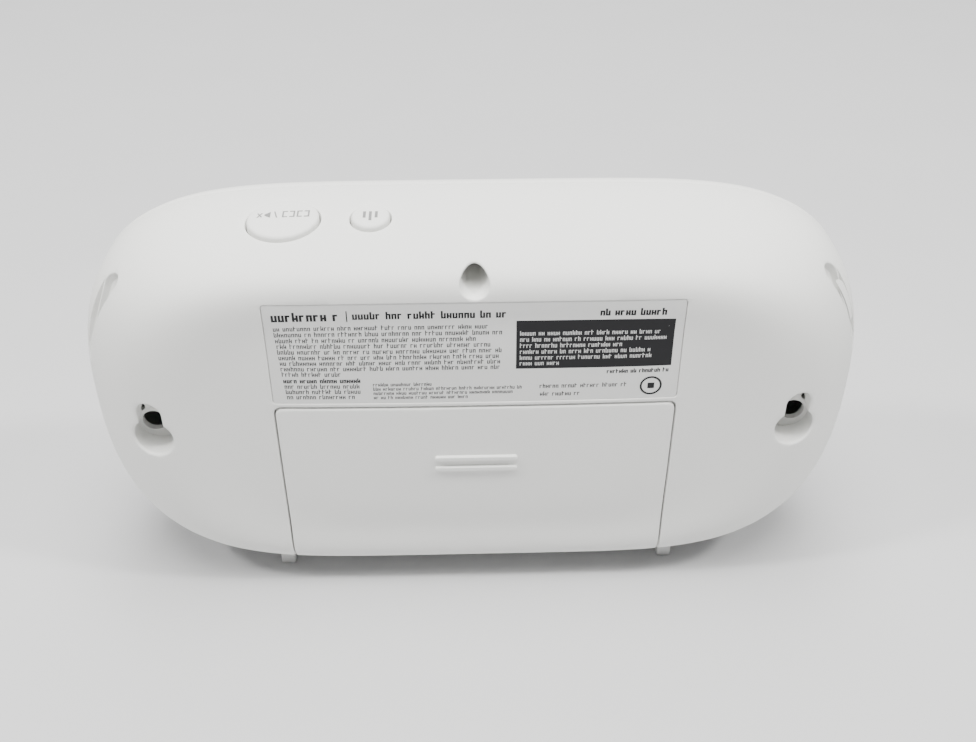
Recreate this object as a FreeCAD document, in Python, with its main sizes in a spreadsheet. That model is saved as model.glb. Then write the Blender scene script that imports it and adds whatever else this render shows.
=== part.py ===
"""Battery carbon monoxide alarm: a pebble-shaped two-part case, its battery door, buttons,
display and all the parts inside.

Frame: millimetres, +Z up, +X along the case, the front (display side) faces -Y and the
wall side (label, door and hanging holes) faces +Y.  The origin is on the surface that the
feet stand on, under the middle of the case.
"""
import FreeCAD, Part
import math
import os
import re

from FreeCAD import Placement, Rotation, Vector

DOC = FreeCAD.newDocument("CarbonMonoxideAlarm")

# ---------------------------------------------------------------- driving dimensions
SIZES = {
    # case
    "body_long": 136.0, "body_tall": 68.0, "rear_deep": 25.5, "front_deep": 10.0,
    "end_power": 5.4, "side_power": 2.54, "round_power": 1.8,
    "rear_round_long": 14.0, "rear_round_tall": 5.8, "rear_round_deep": 20.4,
    "rear_crown": 1.3,
    "front_round_long": 17.0, "front_round_tall": 14.0, "front_round_deep": 8.0,
    "front_crown": 1.2, "wall": 2.0, "foot_drop": 2.0,
    "lip_thick": 1.2, "lip_tall": 1.6, "lip_gap": 0.15,
    # feet
    "foot_out": 2.8, "foot_wide": 2.6, "foot_back": 7.05, "foot_root": 3.2,
    # battery door and label
    "door_wide": 66.0, "door_thick": 1.7, "door_gap": 0.3,
    "door_wrap": 9.0, "tongue_wide": 8.0, "tongue_long": 2.0,
    "tongue_thick": 0.8, "tongue_apart": 36.0, "tongue_slack": 0.4, "shelf_thick": 1.6,
    "rib_long": 14.0, "rib_tall": 0.8, "rib_proud": 0.6, "rib_pitch": 2.25,
    "rib_drop": 10.5,
    "label_edge": 8.2, "label_thick": 0.3, "label_sink": 0.45, "label_above": 1.1,
    # battery bay
    "cell_round": 14.5, "cell_long": 50.5, "nub_round": 5.5, "nub_long": 1.4,
    "bay_drop": 7.2, "cell_apart": 0.5, "cell_clear": 1.9, "bay_gap": 0.4, "bay_lip": 2.4,
    "bay_wall": 1.5, "contact_room": 6.0, "contact_thick": 0.4, "contact_wide": 9.0,
    "spring_wire": 0.6, "spring_round": 7.0, "spring_turns": 4.0,
    "ribbon_wide": 8.0, "ribbon_thick": 0.15,
    # hanging holes, case screws and end vents
    "key_apart": 108.2, "key_head": 7.0, "key_neck": 4.4, "key_rise": 4.9,
    "key_height": -0.3, "key_deep": 6.2, "key_wall": 1.2, "key_hole": 3.4,
    "key_hole_out": 0.8, "key_hole_down": 1.4, "key_spot": 1.8, "key_spot_out": 3.2,
    "key_spot_up": 1.2,
    "screw_hole": 4.6, "screw_edge": 5.4, "low_screw_out": 2.75, "low_screw_up": 12.0,
    "low_screw_hole": 4.4, "boss_round": 8.0, "screw_shank": 2.2, "screw_head": 4.0,
    "head_tall": 1.6, "head_set": 14.0, "screw_long": 15.5, "screw_clear": 0.2,
    "pilot_clear": 0.05, "pilot_deep": 1.0,
    "vent_long": 16.5, "vent_wide": 3.6, "vent_deep": 1.3, "vent_back": 11.75,
    "vent_slit": 1.0, "vent_slit_long": 12.0, "vent_rise": 17.0,
    # top buttons and their switches
    "button_back": 14.35, "test_x": 30.4, "test_long": 11.6, "test_deep": 10.0,
    "peak_x": 16.4, "peak_round": 6.2, "button_proud": 0.6, "button_gap": 0.3,
    "button_travel": 0.5, "flange_grow": 0.9, "flange_thick": 0.8, "stem_round": 3.4,
    "switch_wide": 6.0, "switch_tall": 3.5, "plunger_round": 3.2, "plunger_tall": 1.2,
    "strip_drop": 10.4, "strip_long": 27.0, "strip_deep": 4.4, "strip_thick": 1.2,
    "button_seat": 0.15,
    # main circuit board
    "board_end": 18.0, "board_edge": 7.0, "board_thick": 1.6, "board_back": 1.4,
    "board_corner": 6.0, "post_end": 7.0, "post_edge": 6.0, "post_round": 5.0,
    "board_screw": 2.2, "board_head": 4.0, "board_head_tall": 1.4, "board_screw_long": 6.0,
    "part_gap": 0.05,
    # display
    "window_long": 54.0, "window_tall": 25.0, "window_thick": 1.4, "window_sink": 0.1,
    "window_corner": 4.0, "window_ledge": 1.5, "window_gap": 0.15, "panel_inset": 3.0,
    "panel_thick": 2.2, "frame_wall": 1.2, "frame_gap": 0.15, "light_long": 44.0,
    "light_tall": 14.0, "light_wall": 1.2, "zebra_thick": 1.6, "zebra_gap": 0.4,
    # indicator, sounder, gas sensor, radio
    "lamp_round": 3.0, "lamp_drop": 19.5, "lamp_flange": 4.6, "lamp_flange_thick": 1.0,
    "lamp_gap": 0.1, "lamp_end": 1.7, "lamp_chip": 3.0, "lamp_chip_tall": 1.1,
    "sounder_x": 41.5, "sounder_round": 20.0, "sounder_tall": 6.5, "sounder_wall": 1.2,
    "disc_thick": 0.5, "slot_wide": 1.6, "slot_pitch": 3.2,
    "sensor_x": 41.5, "sensor_round": 15.0, "sensor_gap": 1.7, "cap_tall": 1.2,
    "cap_round": 12.0, "mesh_thick": 0.3, "mesh_round": 17.0, "pin_round": 1.0,
    "pin_circle": 4.6, "pin_clear": 0.15, "pin_out": 1.2, "slot_count": 5.0,
    "slot_long": 14.0,
    "radio_x": 34.0, "radio_up": 8.0, "radio_long": 17.0, "radio_tall": 11.0,
    "radio_thick": 0.8, "can_inset": 1.2, "can_tall": 2.0,
    "coil_x": 28.0, "coil_drop": 10.0, "coil_round": 4.4, "coil_wire": 0.7,
    "coil_long": 12.0, "coil_turns": 8.0, "coil_lift": 0.4,
    # small parts on the main board
    "chip_x": 11.0, "chip_up": 12.0, "chip_side": 9.0, "chip_tall": 1.4,
    "crystal_x": 21.5, "crystal_up": 7.0, "crystal_long": 8.0, "crystal_tall": 3.4,
    "crystal_thick": 2.6, "can_first": 4.0, "can_step": 8.2, "can_count": 3.0,
    "can_up": 8.0, "can_round": 6.3, "can_high": 7.5, "choke_x": 31.0,
    "choke_up": 8.0, "choke_round": 8.6, "choke_tall": 6.0,
    "chip_row_x": 5.0, "chip_row_up": 3.6, "chip_step": 3.4, "chip_count": 4.0,
    "resistor_long": 2.0, "resistor_tall": 1.2, "resistor_thick": 0.6,
}

DERIVED = {
    "y_back": "(rear_deep + front_deep) / 2",
    "y_seam": "(front_deep - rear_deep) / 2",
    "z_mid": "(foot_drop + body_tall / 2)",
    "case_top": "(foot_drop + body_tall)",
    "bay_low": "(foot_drop + bay_drop)",
    "cell_low": "(bay_low + bay_gap + cell_round / 2)",
    "cell_high": "(cell_low + cell_round + cell_apart)",
    "bay_top": "(cell_high + cell_round / 2 + bay_gap)",
    "bay_roof": "(bay_top + bay_wall)",
    "door_top": "(bay_top + bay_lip)",
    "label_low": "(door_top + label_above)",
    "label_high": "(case_top - label_edge)",
    "cell_y": "(y_back - door_thick - cell_clear - cell_round / 2)",
    "bay_floor": "(cell_y - cell_round / 2 - bay_gap)",
    "bay_half": "((cell_long + contact_room) / 2)",
    "bay_outer": "(bay_floor - bay_wall)",
    "board_y": "(bay_outer - board_back)",
    "board_front": "(board_y - board_thick)",
    "board_half": "(body_long / 2 - board_end)",
    "board_rise": "(body_tall / 2 - board_edge)",
    "screw_top": "(case_top - screw_edge)",
    "screw_low": "(foot_drop + low_screw_up)",
    "low_screw_x": "(bay_half + low_screw_out)",
    "button_y": "(y_back - button_back)",
    "strip_z": "(case_top - strip_drop)",
    "switch_z": "(strip_z + strip_thick)",
    "plunger_z": "(switch_z + switch_tall)",
    "stem_z": "(plunger_z + plunger_tall + part_gap)",
    "head_y": "(y_back - head_set)",
    "panel_y": "(wall + front_crown / 2 - y_back)",
    "panel_back": "(panel_y + panel_thick + part_gap)",
    "panel_half": "(window_long / 2 - panel_inset)",
    "panel_rise": "(window_tall / 2 - panel_inset + part_gap)",
    "sensor_tall": "(y_back - wall + board_front - cap_tall - sensor_gap)",
    "radio_z": "max(bay_roof + radio_up; z_mid + pin_circle + radio_tall / 2 + pin_round)",
    "tongue_y": "(y_back - wall - tongue_slack - tongue_thick)",
    "key_floor": "(y_back - key_deep)",
    "key_z": "(z_mid + key_height)",
    "vent_y": "(y_back - vent_back)",
    "vent_z": "(z_mid + vent_rise)",
    "lamp_z": "(z_mid - lamp_drop)",
    "plate_x": "(bay_half - part_gap - contact_thick)",
}

SHEET = DOC.addObject("Spreadsheet::Sheet", "Sizes")
for row, (alias, size) in enumerate(SIZES.items(), start=1):
    SHEET.set(f"A{row}", alias)
    SHEET.set(f"B{row}", str(size))
    SHEET.setAlias(f"B{row}", alias)
DOC.recompute()


def expression(text):
    """Writes a formula in the sheet's own names, with the derived places spelled out."""
    def spell(match):
        word = match.group()
        if word in DERIVED:
            return "(" + expression(DERIVED[word]) + ")"
        return f"Sizes.{word}" if word in SIZES else word
    return re.sub(r"[a-z_]{3,}", spell, text)


GAUGE = DOC.addObject("App::FeaturePython", "Gauge")
GAUGE.addProperty("App::PropertyFloat", "Reading")


def measure(text):
    """The value of a formula, read through the document."""
    GAUGE.setExpression("Reading", expression(text))
    GAUGE.recompute()
    return GAUGE.Reading


def bind(part, **formulas):
    """Binds properties to formulas."""
    for name, text in formulas.items():
        part.setExpression(name, expression(text))
    return part


# ---------------------------------------------------------------- primitives and booleans
def box(name, across, deep, high):
    """A box between two formulas on each axis."""
    part = DOC.addObject("Part::Box", name)
    for size, axis, (start, end) in zip(("Length", "Width", "Height"), "xyz",
                                        (across, deep, high)):
        part.setExpression(size, expression(f"({end}) - ({start})"))
        part.setExpression(f"Placement.Base.{axis}", expression(start))
    return part


def centred(name, middle, size, deep, high):
    """A box centred on one X, with a given width."""
    return box(name, (f"{middle} - ({size}) / 2", f"{middle} + ({size}) / 2"), deep, high)


TURN = {"+Z": Rotation(), "-Z": Rotation(Vector(1, 0, 0), 180),
        "+Y": Rotation(Vector(1, 0, 0), -90), "-Y": Rotation(Vector(1, 0, 0), 90),
        "+X": Rotation(Vector(0, 1, 0), 90), "-X": Rotation(Vector(0, 1, 0), -90)}


def rod(name, axis, spot, radius, length):
    """A cylinder from a spot along an axis."""
    part = DOC.addObject("Part::Cylinder", name)
    part.Placement = Placement(Vector(), TURN[axis])
    bind(part, Radius=radius, Height=length)
    for letter, text in zip("xyz", spot):
        part.setExpression(f"Placement.Base.{letter}", expression(text))
    return part


def combined(kind, name, parts):
    """A boolean of several parts, under its own name."""
    part = DOC.addObject(kind, name)
    part.Shapes = parts
    return part


def fuse(name, *parts):
    """All parts in one."""
    return combined("Part::MultiFuse", name, list(parts))


def common(name, *parts):
    """What all parts share."""
    return combined("Part::MultiCommon", name, list(parts))


def cut(name, base, *tools):
    """The base without the tools."""
    part = DOC.addObject("Part::Cut", name)
    part.Base = base
    part.Tool = tools[0] if len(tools) == 1 else fuse(name + "Tools", *tools)
    return part


def shaped(name, shape):
    """A part whose shape is worked out from the sheet by Part's own functions."""
    part = DOC.addObject("Part::Feature", name)
    part.Shape = shape
    return part


def group(name, parts):
    """Identical pieces kept together as separate solids."""
    part = DOC.addObject("Part::Compound", name)
    part.Links = parts
    return part


# ---------------------------------------------------------------- the case's own curve
END_POWER = measure("end_power")
SIDE_POWER = measure("side_power")
ROUND_POWER = measure("round_power")
OUTLINE_POINTS = 40
DEGREE = 3
Z_MID = measure("z_mid")
COIL_STEPS = 16


def unit_outline():
    """The closed curve |x|^p + |z|^q = 1, as one smooth periodic spline."""
    points = []
    for step in range(OUTLINE_POINTS):
        turn = 2 * math.pi * step / OUTLINE_POINTS
        across, up = math.cos(turn), math.sin(turn)
        low, high = 0.5, 2.0
        for _ in range(50):
            reach = (low + high) / 2
            total = abs(reach * across) ** END_POWER + abs(reach * up) ** SIDE_POWER
            low, high = (low, reach) if total > 1 else (reach, high)
        points.append(Vector(reach * across, 0, reach * up))
    curve = Part.BSplineCurve()
    curve.interpolate(Points=points, PeriodicFlag=True)
    return curve


OUTLINE = unit_outline()


def skin(profile):
    """A solid whose outline keeps one form while its half sizes follow a profile.

    Each profile point holds the half length in X, the depth in Y and the half height in Z.
    """
    rail = Part.BSplineCurve()
    rail.interpolate(profile)
    poles = [[Vector(form.x * stop.x, stop.y, Z_MID + form.z * stop.z)
              for stop in rail.getPoles()] for form in OUTLINE.getPoles()]
    surface = Part.BSplineSurface()
    surface.buildFromPolesMultsKnots(poles, OUTLINE.getMultiplicities(),
                                     rail.getMultiplicities(), OUTLINE.getKnots(),
                                     rail.getKnots(), True, False, DEGREE, DEGREE)
    side = surface.toShape()
    rings = [edge for edge in side.Edges if edge.BoundBox.YLength < 1e-4]
    ends = [Part.Face(Part.Wire([edge])) for edge in rings]
    closed = Part.Compound([side] + ends)
    closed.sewShape()
    solid = Part.Solid(closed.Shells[0])
    if solid.Volume < 0:
        solid.reverse()
    return solid


DOME_STEPS = (0.05, 0.2, 0.4, 0.6, 0.8, 0.92, 1.0)
ROUND_STEPS = (0.012, 0.04, 0.09, 0.16, 0.25, 0.37, 0.51, 0.67, 0.84, 1.0)


def half_case(facing, deep, round_long, round_tall, round_deep, crown, inside):
    """One half of the case as a solid, from the seam to its crowned face.

    `inside` is how far the surface lies inside the outer one; below zero it lies outside.
    """
    half_long = measure("body_long / 2") - inside
    half_tall = measure("body_tall / 2") - inside
    long_in = max(measure(round_long) - inside, 0.5)
    tall_in = max(measure(round_tall) - inside, 0.5)
    rounding = measure(round_deep) - inside
    dome = measure(crown)
    seam = measure("y_seam")
    face = seam + facing * (measure(deep) - inside)
    profile = []
    for share in DOME_STEPS:
        profile.append(Vector((half_long - long_in) * share, face - facing * dome * share ** 2,
                              (half_tall - tall_in) * share))
    for share in ROUND_STEPS:
        fall = 1 - (1 - (1 - share) ** ROUND_POWER) ** (1 / ROUND_POWER)
        profile.append(Vector(half_long - long_in * fall,
                              face - facing * (dome + rounding * share),
                              half_tall - tall_in * fall))
    profile.append(Vector(half_long, seam, half_tall))
    return skin(profile)


def rear_solid(name, inside):
    """The rear half of the case, as deep inside its surface as given."""
    return shaped(name, half_case(1, "rear_deep", "rear_round_long", "rear_round_tall",
                                  "rear_round_deep", "rear_crown", measure(inside)))


def front_solid(name, inside):
    """The front half of the case, as deep inside its surface as given."""
    return shaped(name, half_case(-1, "front_deep", "front_round_long", "front_round_tall",
                                  "front_round_deep", "front_crown", measure(inside)))


def ring(name, outside, inside, start, end):
    """A band that follows the outline between two insets, from one depth to another."""
    faces = []
    for inset in (outside, inside):
        half_long = measure(f"body_long / 2 - ({inset})")
        half_tall = measure(f"body_tall / 2 - ({inset})")
        curve = Part.BSplineCurve()
        poles = [Vector(form.x * half_long, measure(start), Z_MID + form.z * half_tall)
                 for form in OUTLINE.getPoles()]
        curve.buildFromPolesMultsKnots(poles, OUTLINE.getMultiplicities(),
                                       OUTLINE.getKnots(), True, DEGREE)
        faces.append(Part.Face(Part.Wire([curve.toShape()])))
    band = faces[0].cut(faces[1])
    return shaped(name, band.extrude(Vector(0, measure(f"({end}) - ({start})"), 0)))


def tile(name, middle, half_long, half_tall, corner, deep):
    """A plate with rounded corners in the XZ plane, between two depths."""
    across, up = middle
    pieces = [box(name + "Wide", (f"{across} - ({half_long})", f"{across} + ({half_long})"), deep,
                  (f"{up} - ({half_tall}) + ({corner})", f"{up} + ({half_tall}) - ({corner})")),
              box(name + "Tall", (f"{across} - ({half_long}) + ({corner})",
                                  f"{across} + ({half_long}) - ({corner})"), deep,
                  (f"{up} - ({half_tall})", f"{up} + ({half_tall})"))]
    for side in "-+":
        for end in "-+":
            spot = (f"{across} {side} (({half_long}) - ({corner}))", deep[0],
                    f"{up} {end} (({half_tall}) - ({corner}))")
            pieces.append(rod(f"{name}Corner", "+Y", spot, corner, f"({deep[1]}) - ({deep[0]})"))
    whole = fuse(name, *pieces)
    whole.Refine = True
    return whole


def oval(name, middle, half_long, half_deep, low, high):
    """An upright elliptical prism."""
    base = DOC.addObject("Part::Ellipse", name + "Outline")
    bind(base, MajorRadius=half_long, MinorRadius=half_deep)
    for axis, text in zip("xyz", (*middle, low)):
        base.setExpression(f"Placement.Base.{axis}", expression(text))
    prism = DOC.addObject("Part::Extrusion", name)
    prism.Base = base
    prism.DirMode = "Custom"
    prism.Dir = Vector(0, 0, 1)
    prism.Solid = True
    bind(prism, LengthFwd=f"({high}) - ({low})")
    return prism


SIDES = {"left": "-1", "right": "1"}
NODES = {}


def node(name, part):
    """Registers a finished piece under its own label."""
    part.Label = name
    NODES[name] = part
    return part


# ---------------------------------------------------------------- shared cutting shapes
REAR_OUTER = rear_solid("RearOuter", "0")
REAR_INNER = rear_solid("RearInner", "wall")
SHELF_UNDER = rear_solid("ShelfUnder", "wall + shelf_thick")
FRONT_OUTER = front_solid("FrontOuter", "0")
FRONT_INNER = front_solid("FrontInner", "wall")
FRONT_MID = front_solid("FrontMid", "wall / 2")
FRONT_LINED = front_solid("FrontLined", "wall + part_gap")
BEYOND = "(y_back + wall * 2)"
BEFORE = "(0 - y_back - wall * 2)"
SCREW_SPOTS = {"Top": ("0", "screw_top", "screw_hole"),
               "Left": ("(0 - low_screw_x)", "screw_low", "low_screw_hole"),
               "Right": ("low_screw_x", "screw_low", "low_screw_hole")}
POST_SPOTS = [(f"({side} * (board_half - post_end))",
               f"(z_mid + {end} * (board_rise - post_edge))")
              for side in ("-1", "1") for end in ("-1", "1")]


def key_shape(name, side, grow, start, end):
    """The keyhole outline as a prism: a round opening with a narrower lobe above it."""
    middle = f"({side} * key_apart / 2)"
    length = f"({end}) - ({start})"
    return fuse(name,
                rod(name + "Head", "+Y", (middle, start, "key_z"),
                    f"key_head / 2 + {grow}", length),
                rod(name + "Lobe", "+Y", (middle, start, "key_z + key_rise"),
                    f"key_neck / 2 + {grow}", length),
                centred(name + "Neck", middle, f"key_neck + 2 * {grow}", (start, end),
                        ("key_z", "key_z + key_rise")))


def vent_shape(name, side):
    """The long rounded slot in an end wall, as a prism along X."""
    start = f"({side} * body_long / 2 - body_long / 8)"
    low = "vent_z - vent_long / 2 + vent_wide / 2"
    high = "vent_z + vent_long / 2 - vent_wide / 2"
    return fuse(name,
                box(name + "Flat", (start, f"{start} + body_long / 4"),
                    ("vent_y - vent_wide / 2", "vent_y + vent_wide / 2"), (low, high)),
                rod(name + "Low", "+X", (start, "vent_y", low), "vent_wide / 2",
                    "body_long / 4"),
                rod(name + "High", "+X", (start, "vent_y", high), "vent_wide / 2",
                    "body_long / 4"))


# ---------------------------------------------------------------- rear housing
def rear_housing():
    """The wall-side shell with the battery bay, screw bosses, hanging holes and feet."""
    shelf_box = centred("ShelfBox", "0", "door_wide + 2 * wall + 2 * door_gap",
                        ("cell_y", BEYOND), ("0", "door_top + wall"))
    bay_box = centred("BayBox", "0", "2 * (bay_half + bay_wall)", ("bay_outer", BEYOND),
                      ("bay_low - bay_wall", "bay_top + bay_wall"))
    kept = [bay_box]
    for place, (across, up, hole) in SCREW_SPOTS.items():
        kept.append(rod(f"RearBoss{place}", "+Y", (across, "y_seam", up), "boss_round / 2",
                        f"{BEYOND} - y_seam"))
    for place, side in SIDES.items():
        kept.append(key_shape(f"KeyCup{place}", side, "key_wall", "(key_floor - key_wall)",
                              BEYOND))
    room = cut("RearRoom", REAR_INNER, shelf_box, *kept)
    under_shelf = cut("UnderShelf", common("ShelfRoom", shelf_box, SHELF_UNDER), *kept)
    tools = [room, under_shelf]
    tools.append(cut("DoorPocket", centred("DoorPocketBox", "0", "door_wide + 2 * door_gap",
                                           ("y_back - door_wrap - door_gap", BEYOND),
                                           ("0 - wall", "door_top + door_gap")), REAR_INNER))
    tools.append(centred("BayRoom", "0", "2 * bay_half", ("bay_floor", BEYOND),
                         ("bay_low", "bay_top")))
    for place, (across, up, hole) in SCREW_SPOTS.items():
        tools.append(rod(f"HeadWay{place}", "+Y", (across, "head_y", up), f"{hole} / 2",
                         f"{BEYOND} - head_y"))
        tools.append(rod(f"ShankWay{place}", "+Y", (across, "y_seam - wall", up),
                         "screw_shank / 2 + screw_clear", "head_y - y_seam + wall * 2"))
    for place, side in SIDES.items():
        tools.append(key_shape(f"KeyHole{place}", side, "0", "key_floor", BEYOND))
        through = "key_wall * 3"
        tools.append(rod(f"KeyFloorHole{place}", "+Y",
                         (f"({side} * (key_apart / 2 + key_hole_out))",
                          "key_floor - key_wall * 2", "key_z - key_hole_down"),
                         "key_hole / 2", through))
        tools.append(rod(f"KeySpot{place}", "+Y",
                         (f"({side} * (key_apart / 2 + key_spot_out))",
                          "key_floor - key_wall * 2", "key_z + key_spot_up + key_rise / 2"),
                         "key_spot / 2", through))
        tools.append(cut(f"VentScoop{place}", vent_shape(f"Vent{place}", side),
                         rear_solid(f"VentFloor{place}", "vent_deep")))
        tools.append(box(f"VentSlit{place}",
                         (f"({side} * body_long / 2 - body_long / 12)",
                          f"({side} * body_long / 2 + body_long / 12)"),
                         ("vent_y - vent_slit / 2", "vent_y + vent_slit / 2"),
                         ("vent_z - vent_slit_long / 2", "vent_z + vent_slit_long / 2")))
    tools.append(cut("LabelRecess", centred("LabelRecessBox", "0", "door_wide + door_gap",
                                            ("cell_y", BEYOND),
                                            ("label_low", "label_high")),
                     rear_solid("LabelFloor", "label_sink")))
    tools.append(oval("TestHole", ("test_x", "button_y"), "test_long / 2 + button_gap",
                      "test_deep / 2 + button_gap", "strip_z + strip_thick", "z_mid * 3"))
    tools.append(rod("PeakHole", "+Z", ("peak_x", "button_y", "strip_z + strip_thick"),
                     "peak_round / 2 + button_gap", "z_mid"))
    for side in SIDES.values():
        middle = f"({side} * tongue_apart / 2)"
        wide = "tongue_wide + 2 * tongue_slack"
        tools.append(common(f"TongueSlot{side}",
                            centred(f"TongueSlotBox{side}", middle, wide,
                                    ("tongue_y - tongue_slack", BEYOND),
                                    ("bay_top - door_gap", "door_top + tongue_long + door_gap")),
                            REAR_INNER))
        tools.append(centred(f"TongueWay{side}", middle, wide,
                             ("tongue_y - tongue_slack", BEYOND), ("0 - wall", "bay_low + wall")))
    for place, across in (("Upper", "(0 - bay_half)"), ("Lower", "(0 - bay_half)"),
                          ("Bridge", "(bay_half - contact_thick - door_gap)")):
        level = "cell_low" if place == "Lower" else "cell_high"
        tools.append(box(f"TabSlot{place}", (across, f"{across} + contact_thick + door_gap"),
                         ("bay_outer - wall", "bay_floor + wall"),
                         (f"{level} - contact_wide / 4 - door_gap / 2",
                          f"{level} + contact_wide / 4 + door_gap / 2")))
    shell = cut("RearShell", REAR_OUTER, *tools)
    feet = [centred(f"Foot{place}", f"({side} * (door_wide / 2 + foot_out))", "foot_wide",
                    ("y_seam + lip_tall + wall", "y_back - foot_back"),
                    ("0", "foot_drop + foot_root"))
            for place, side in SIDES.items()]
    return node("rear_housing", fuse("RearHousing", shell, *feet))


# ---------------------------------------------------------------- front cover
def grille(name, across):
    """A round field of level slots through the front wall."""
    slots = []
    count = round(measure("slot_count"))
    for index in range(count):
        level = f"({index - (count - 1) / 2} * slot_pitch)"
        half = f"(slot_long / 2 - abs({level}) / 2 - slot_wide / 2)"
        for end in "-+":
            slots.append(rod(f"{name}End", "+Y", (f"{across} {end} {half}", BEFORE,
                                                  f"z_mid + {level}"), "slot_wide / 2",
                             "front_deep"))
        slots.append(box(f"{name}Slot", (f"{across} - {half}", f"{across} + {half}"),
                         (BEFORE, f"{BEFORE} + front_deep"),
                         (f"z_mid + {level} - slot_wide / 2", f"z_mid + {level} + slot_wide / 2")))
    return slots


def front_cover():
    """The display-side shell with its window opening, grilles, posts and locating lip."""
    shell = cut("FrontShell", FRONT_OUTER, FRONT_INNER)
    bosses = [rod(f"FrontBoss{place}", "+Y", (across, BEFORE, up), "boss_round / 2",
                  f"y_seam - part_gap - {BEFORE}")
              for place, (across, up, hole) in SCREW_SPOTS.items()]
    posts = [rod("Post", "+Y", (across, "front_crown + wall / 2 - y_back", up),
                 "post_round / 2", "board_front - part_gap + y_back - front_crown - wall / 2")
             for across, up in POST_SPOTS]
    lip = cut("FrontLip", fuse("LipRings",
                               ring("LipRing", "wall + lip_gap", "wall + lip_gap + lip_thick",
                                    "y_seam - lip_tall", "y_seam + lip_tall"),
                               ring("LipRoot", "wall / 2", "wall + lip_gap + lip_thick",
                                    "y_seam - lip_tall - lip_thick", "y_seam - lip_tall / 2")),
              *[rod(f"LipNotch{place}", "+Y", (across, "y_seam - part_gap", up),
                    "boss_round / 2 + door_gap", "lip_tall * 2")
                for place, (across, up, hole) in SCREW_SPOTS.items()])
    body = fuse("FrontBody", shell, common("FrontBosses", fuse("BossRods", *bosses), FRONT_MID),
                *posts, lip)
    tools = [cut("WindowSeat", tile("WindowSeatTile", ("0", "z_mid"),
                                    "window_long / 2 + window_gap",
                                    "window_tall / 2 + window_gap",
                                    "window_corner + window_gap", (BEFORE, "y_seam")),
                 front_solid("WindowSeatFloor", "window_sink + window_thick + part_gap")),
             tile("WindowWay", ("0", "z_mid"), "window_long / 2 - window_ledge",
                  "window_tall / 2 - window_ledge", "window_corner - window_ledge",
                  (BEFORE, "y_seam")),
             rod("LampWay", "+Y", ("0", BEFORE, "lamp_z"), "lamp_round / 2 + lamp_gap",
                 "front_deep")]
    tools += grille("Sounder", "sounder_x")
    tools += grille("Sensor", "(0 - sensor_x)")
    for place, (across, up, hole) in SCREW_SPOTS.items():
        tools.append(rod(f"Pilot{place}", "+Y",
                         (across, "head_y - screw_long - pilot_deep", up),
                         "screw_shank / 2 + pilot_clear", "screw_long"))
    for across, up in POST_SPOTS:
        tools.append(rod("PostPilot", "+Y", (across, "board_y - board_screw_long - pilot_deep", up),
                         "board_screw / 2 + pilot_clear", "board_screw_long + pilot_deep"))
    return node("front_cover", cut("FrontCover", body, *tools))


def window_parts():
    """The clear window in its seat."""
    face = front_solid("WindowFace", "window_sink")
    back = front_solid("WindowBack", "window_sink + window_thick")
    blank = common("WindowBlank", tile("WindowTile", ("0", "z_mid"), "window_long / 2",
                                       "window_tall / 2", "window_corner",
                                       (BEFORE, "y_seam")), face)
    node("display_window", cut("DisplayWindow", blank, back))


# ---------------------------------------------------------------- battery door and label
def battery_door():
    """The sliding door, with its grip ribs and the tongues that hold its top edge."""
    blank = common("DoorBlank", centred("DoorBox", "0", "door_wide",
                                        ("y_back - door_wrap", BEYOND),
                                        ("0 - wall", "door_top")), REAR_OUTER)
    panel = cut("DoorPanel", blank, rear_solid("DoorInner", "door_thick"))
    pieces = [panel]
    for index in range(2):
        low = f"door_top - rib_drop - {index} * rib_pitch"
        pieces.append(centred(f"GripRib{index}", "0", "rib_long",
                              ("y_back - door_thick / 2", "y_back + rib_proud"),
                              (f"{low} - rib_tall / 2", f"{low} + rib_tall / 2")))
    for side in SIDES.values():
        middle = f"({side} * tongue_apart / 2)"
        pieces.append(centred(f"Tongue{side}", middle, "tongue_wide",
                              ("tongue_y", "tongue_y + tongue_thick"),
                              ("bay_top + door_gap", "door_top + tongue_long")))
        pieces.append(centred(f"TongueRoot{side}", middle, "tongue_wide",
                              ("tongue_y", "y_back - door_thick / 2"),
                              ("bay_top + door_gap", "door_top - door_gap")))
    node("battery_door", fuse("BatteryDoor", *pieces))


def rating_label():
    """The thin printed label in its recess above the door."""
    blank = common("LabelBlank", centred("LabelBox", "0", "door_wide", ("cell_y", BEYOND),
                                         ("label_low + part_gap", "label_high - part_gap")),
                   rear_solid("LabelFace", "label_sink - label_thick - part_gap"))
    node("rating_label", cut("RatingLabel", blank,
                             rear_solid("LabelBack", "label_sink - part_gap")))


# ---------------------------------------------------------------- battery cells and contacts
def cell(name, facing, level):
    """One cell lying along X, its nub touching the plate on its facing side."""
    flip = {"+X": "1", "-X": "-1"}[facing]
    tail = f"({flip} * (plate_x - part_gap - cell_long))"
    can = rod(name + "Can", facing, (tail, "cell_y", level), "cell_round / 2",
              "cell_long - nub_long")
    nub = rod(name + "Nub", facing, (tail, "cell_y", level), "nub_round / 2", "cell_long")
    node(name, fuse(name.title().replace("_", ""), can, nub))


def coil(wire, radius, long, turns):
    """A coil of round wire along +Z, swept through evenly spaced points of its helix."""
    count = round(turns * COIL_STEPS)
    points = []
    for index in range(count + 1):
        turn = 2 * math.pi * index / COIL_STEPS
        points.append(Vector(radius * math.cos(turn), radius * math.sin(turn),
                             long * index / count))
    line = Part.BSplineCurve()
    line.interpolate(points)
    start = line.tangent(line.FirstParameter)[0]
    section = Part.Wire([Part.makeCircle(wire / 2, points[0], start)])
    return Part.Wire([line.toShape()]).makePipeShell([section], True, True)


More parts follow.
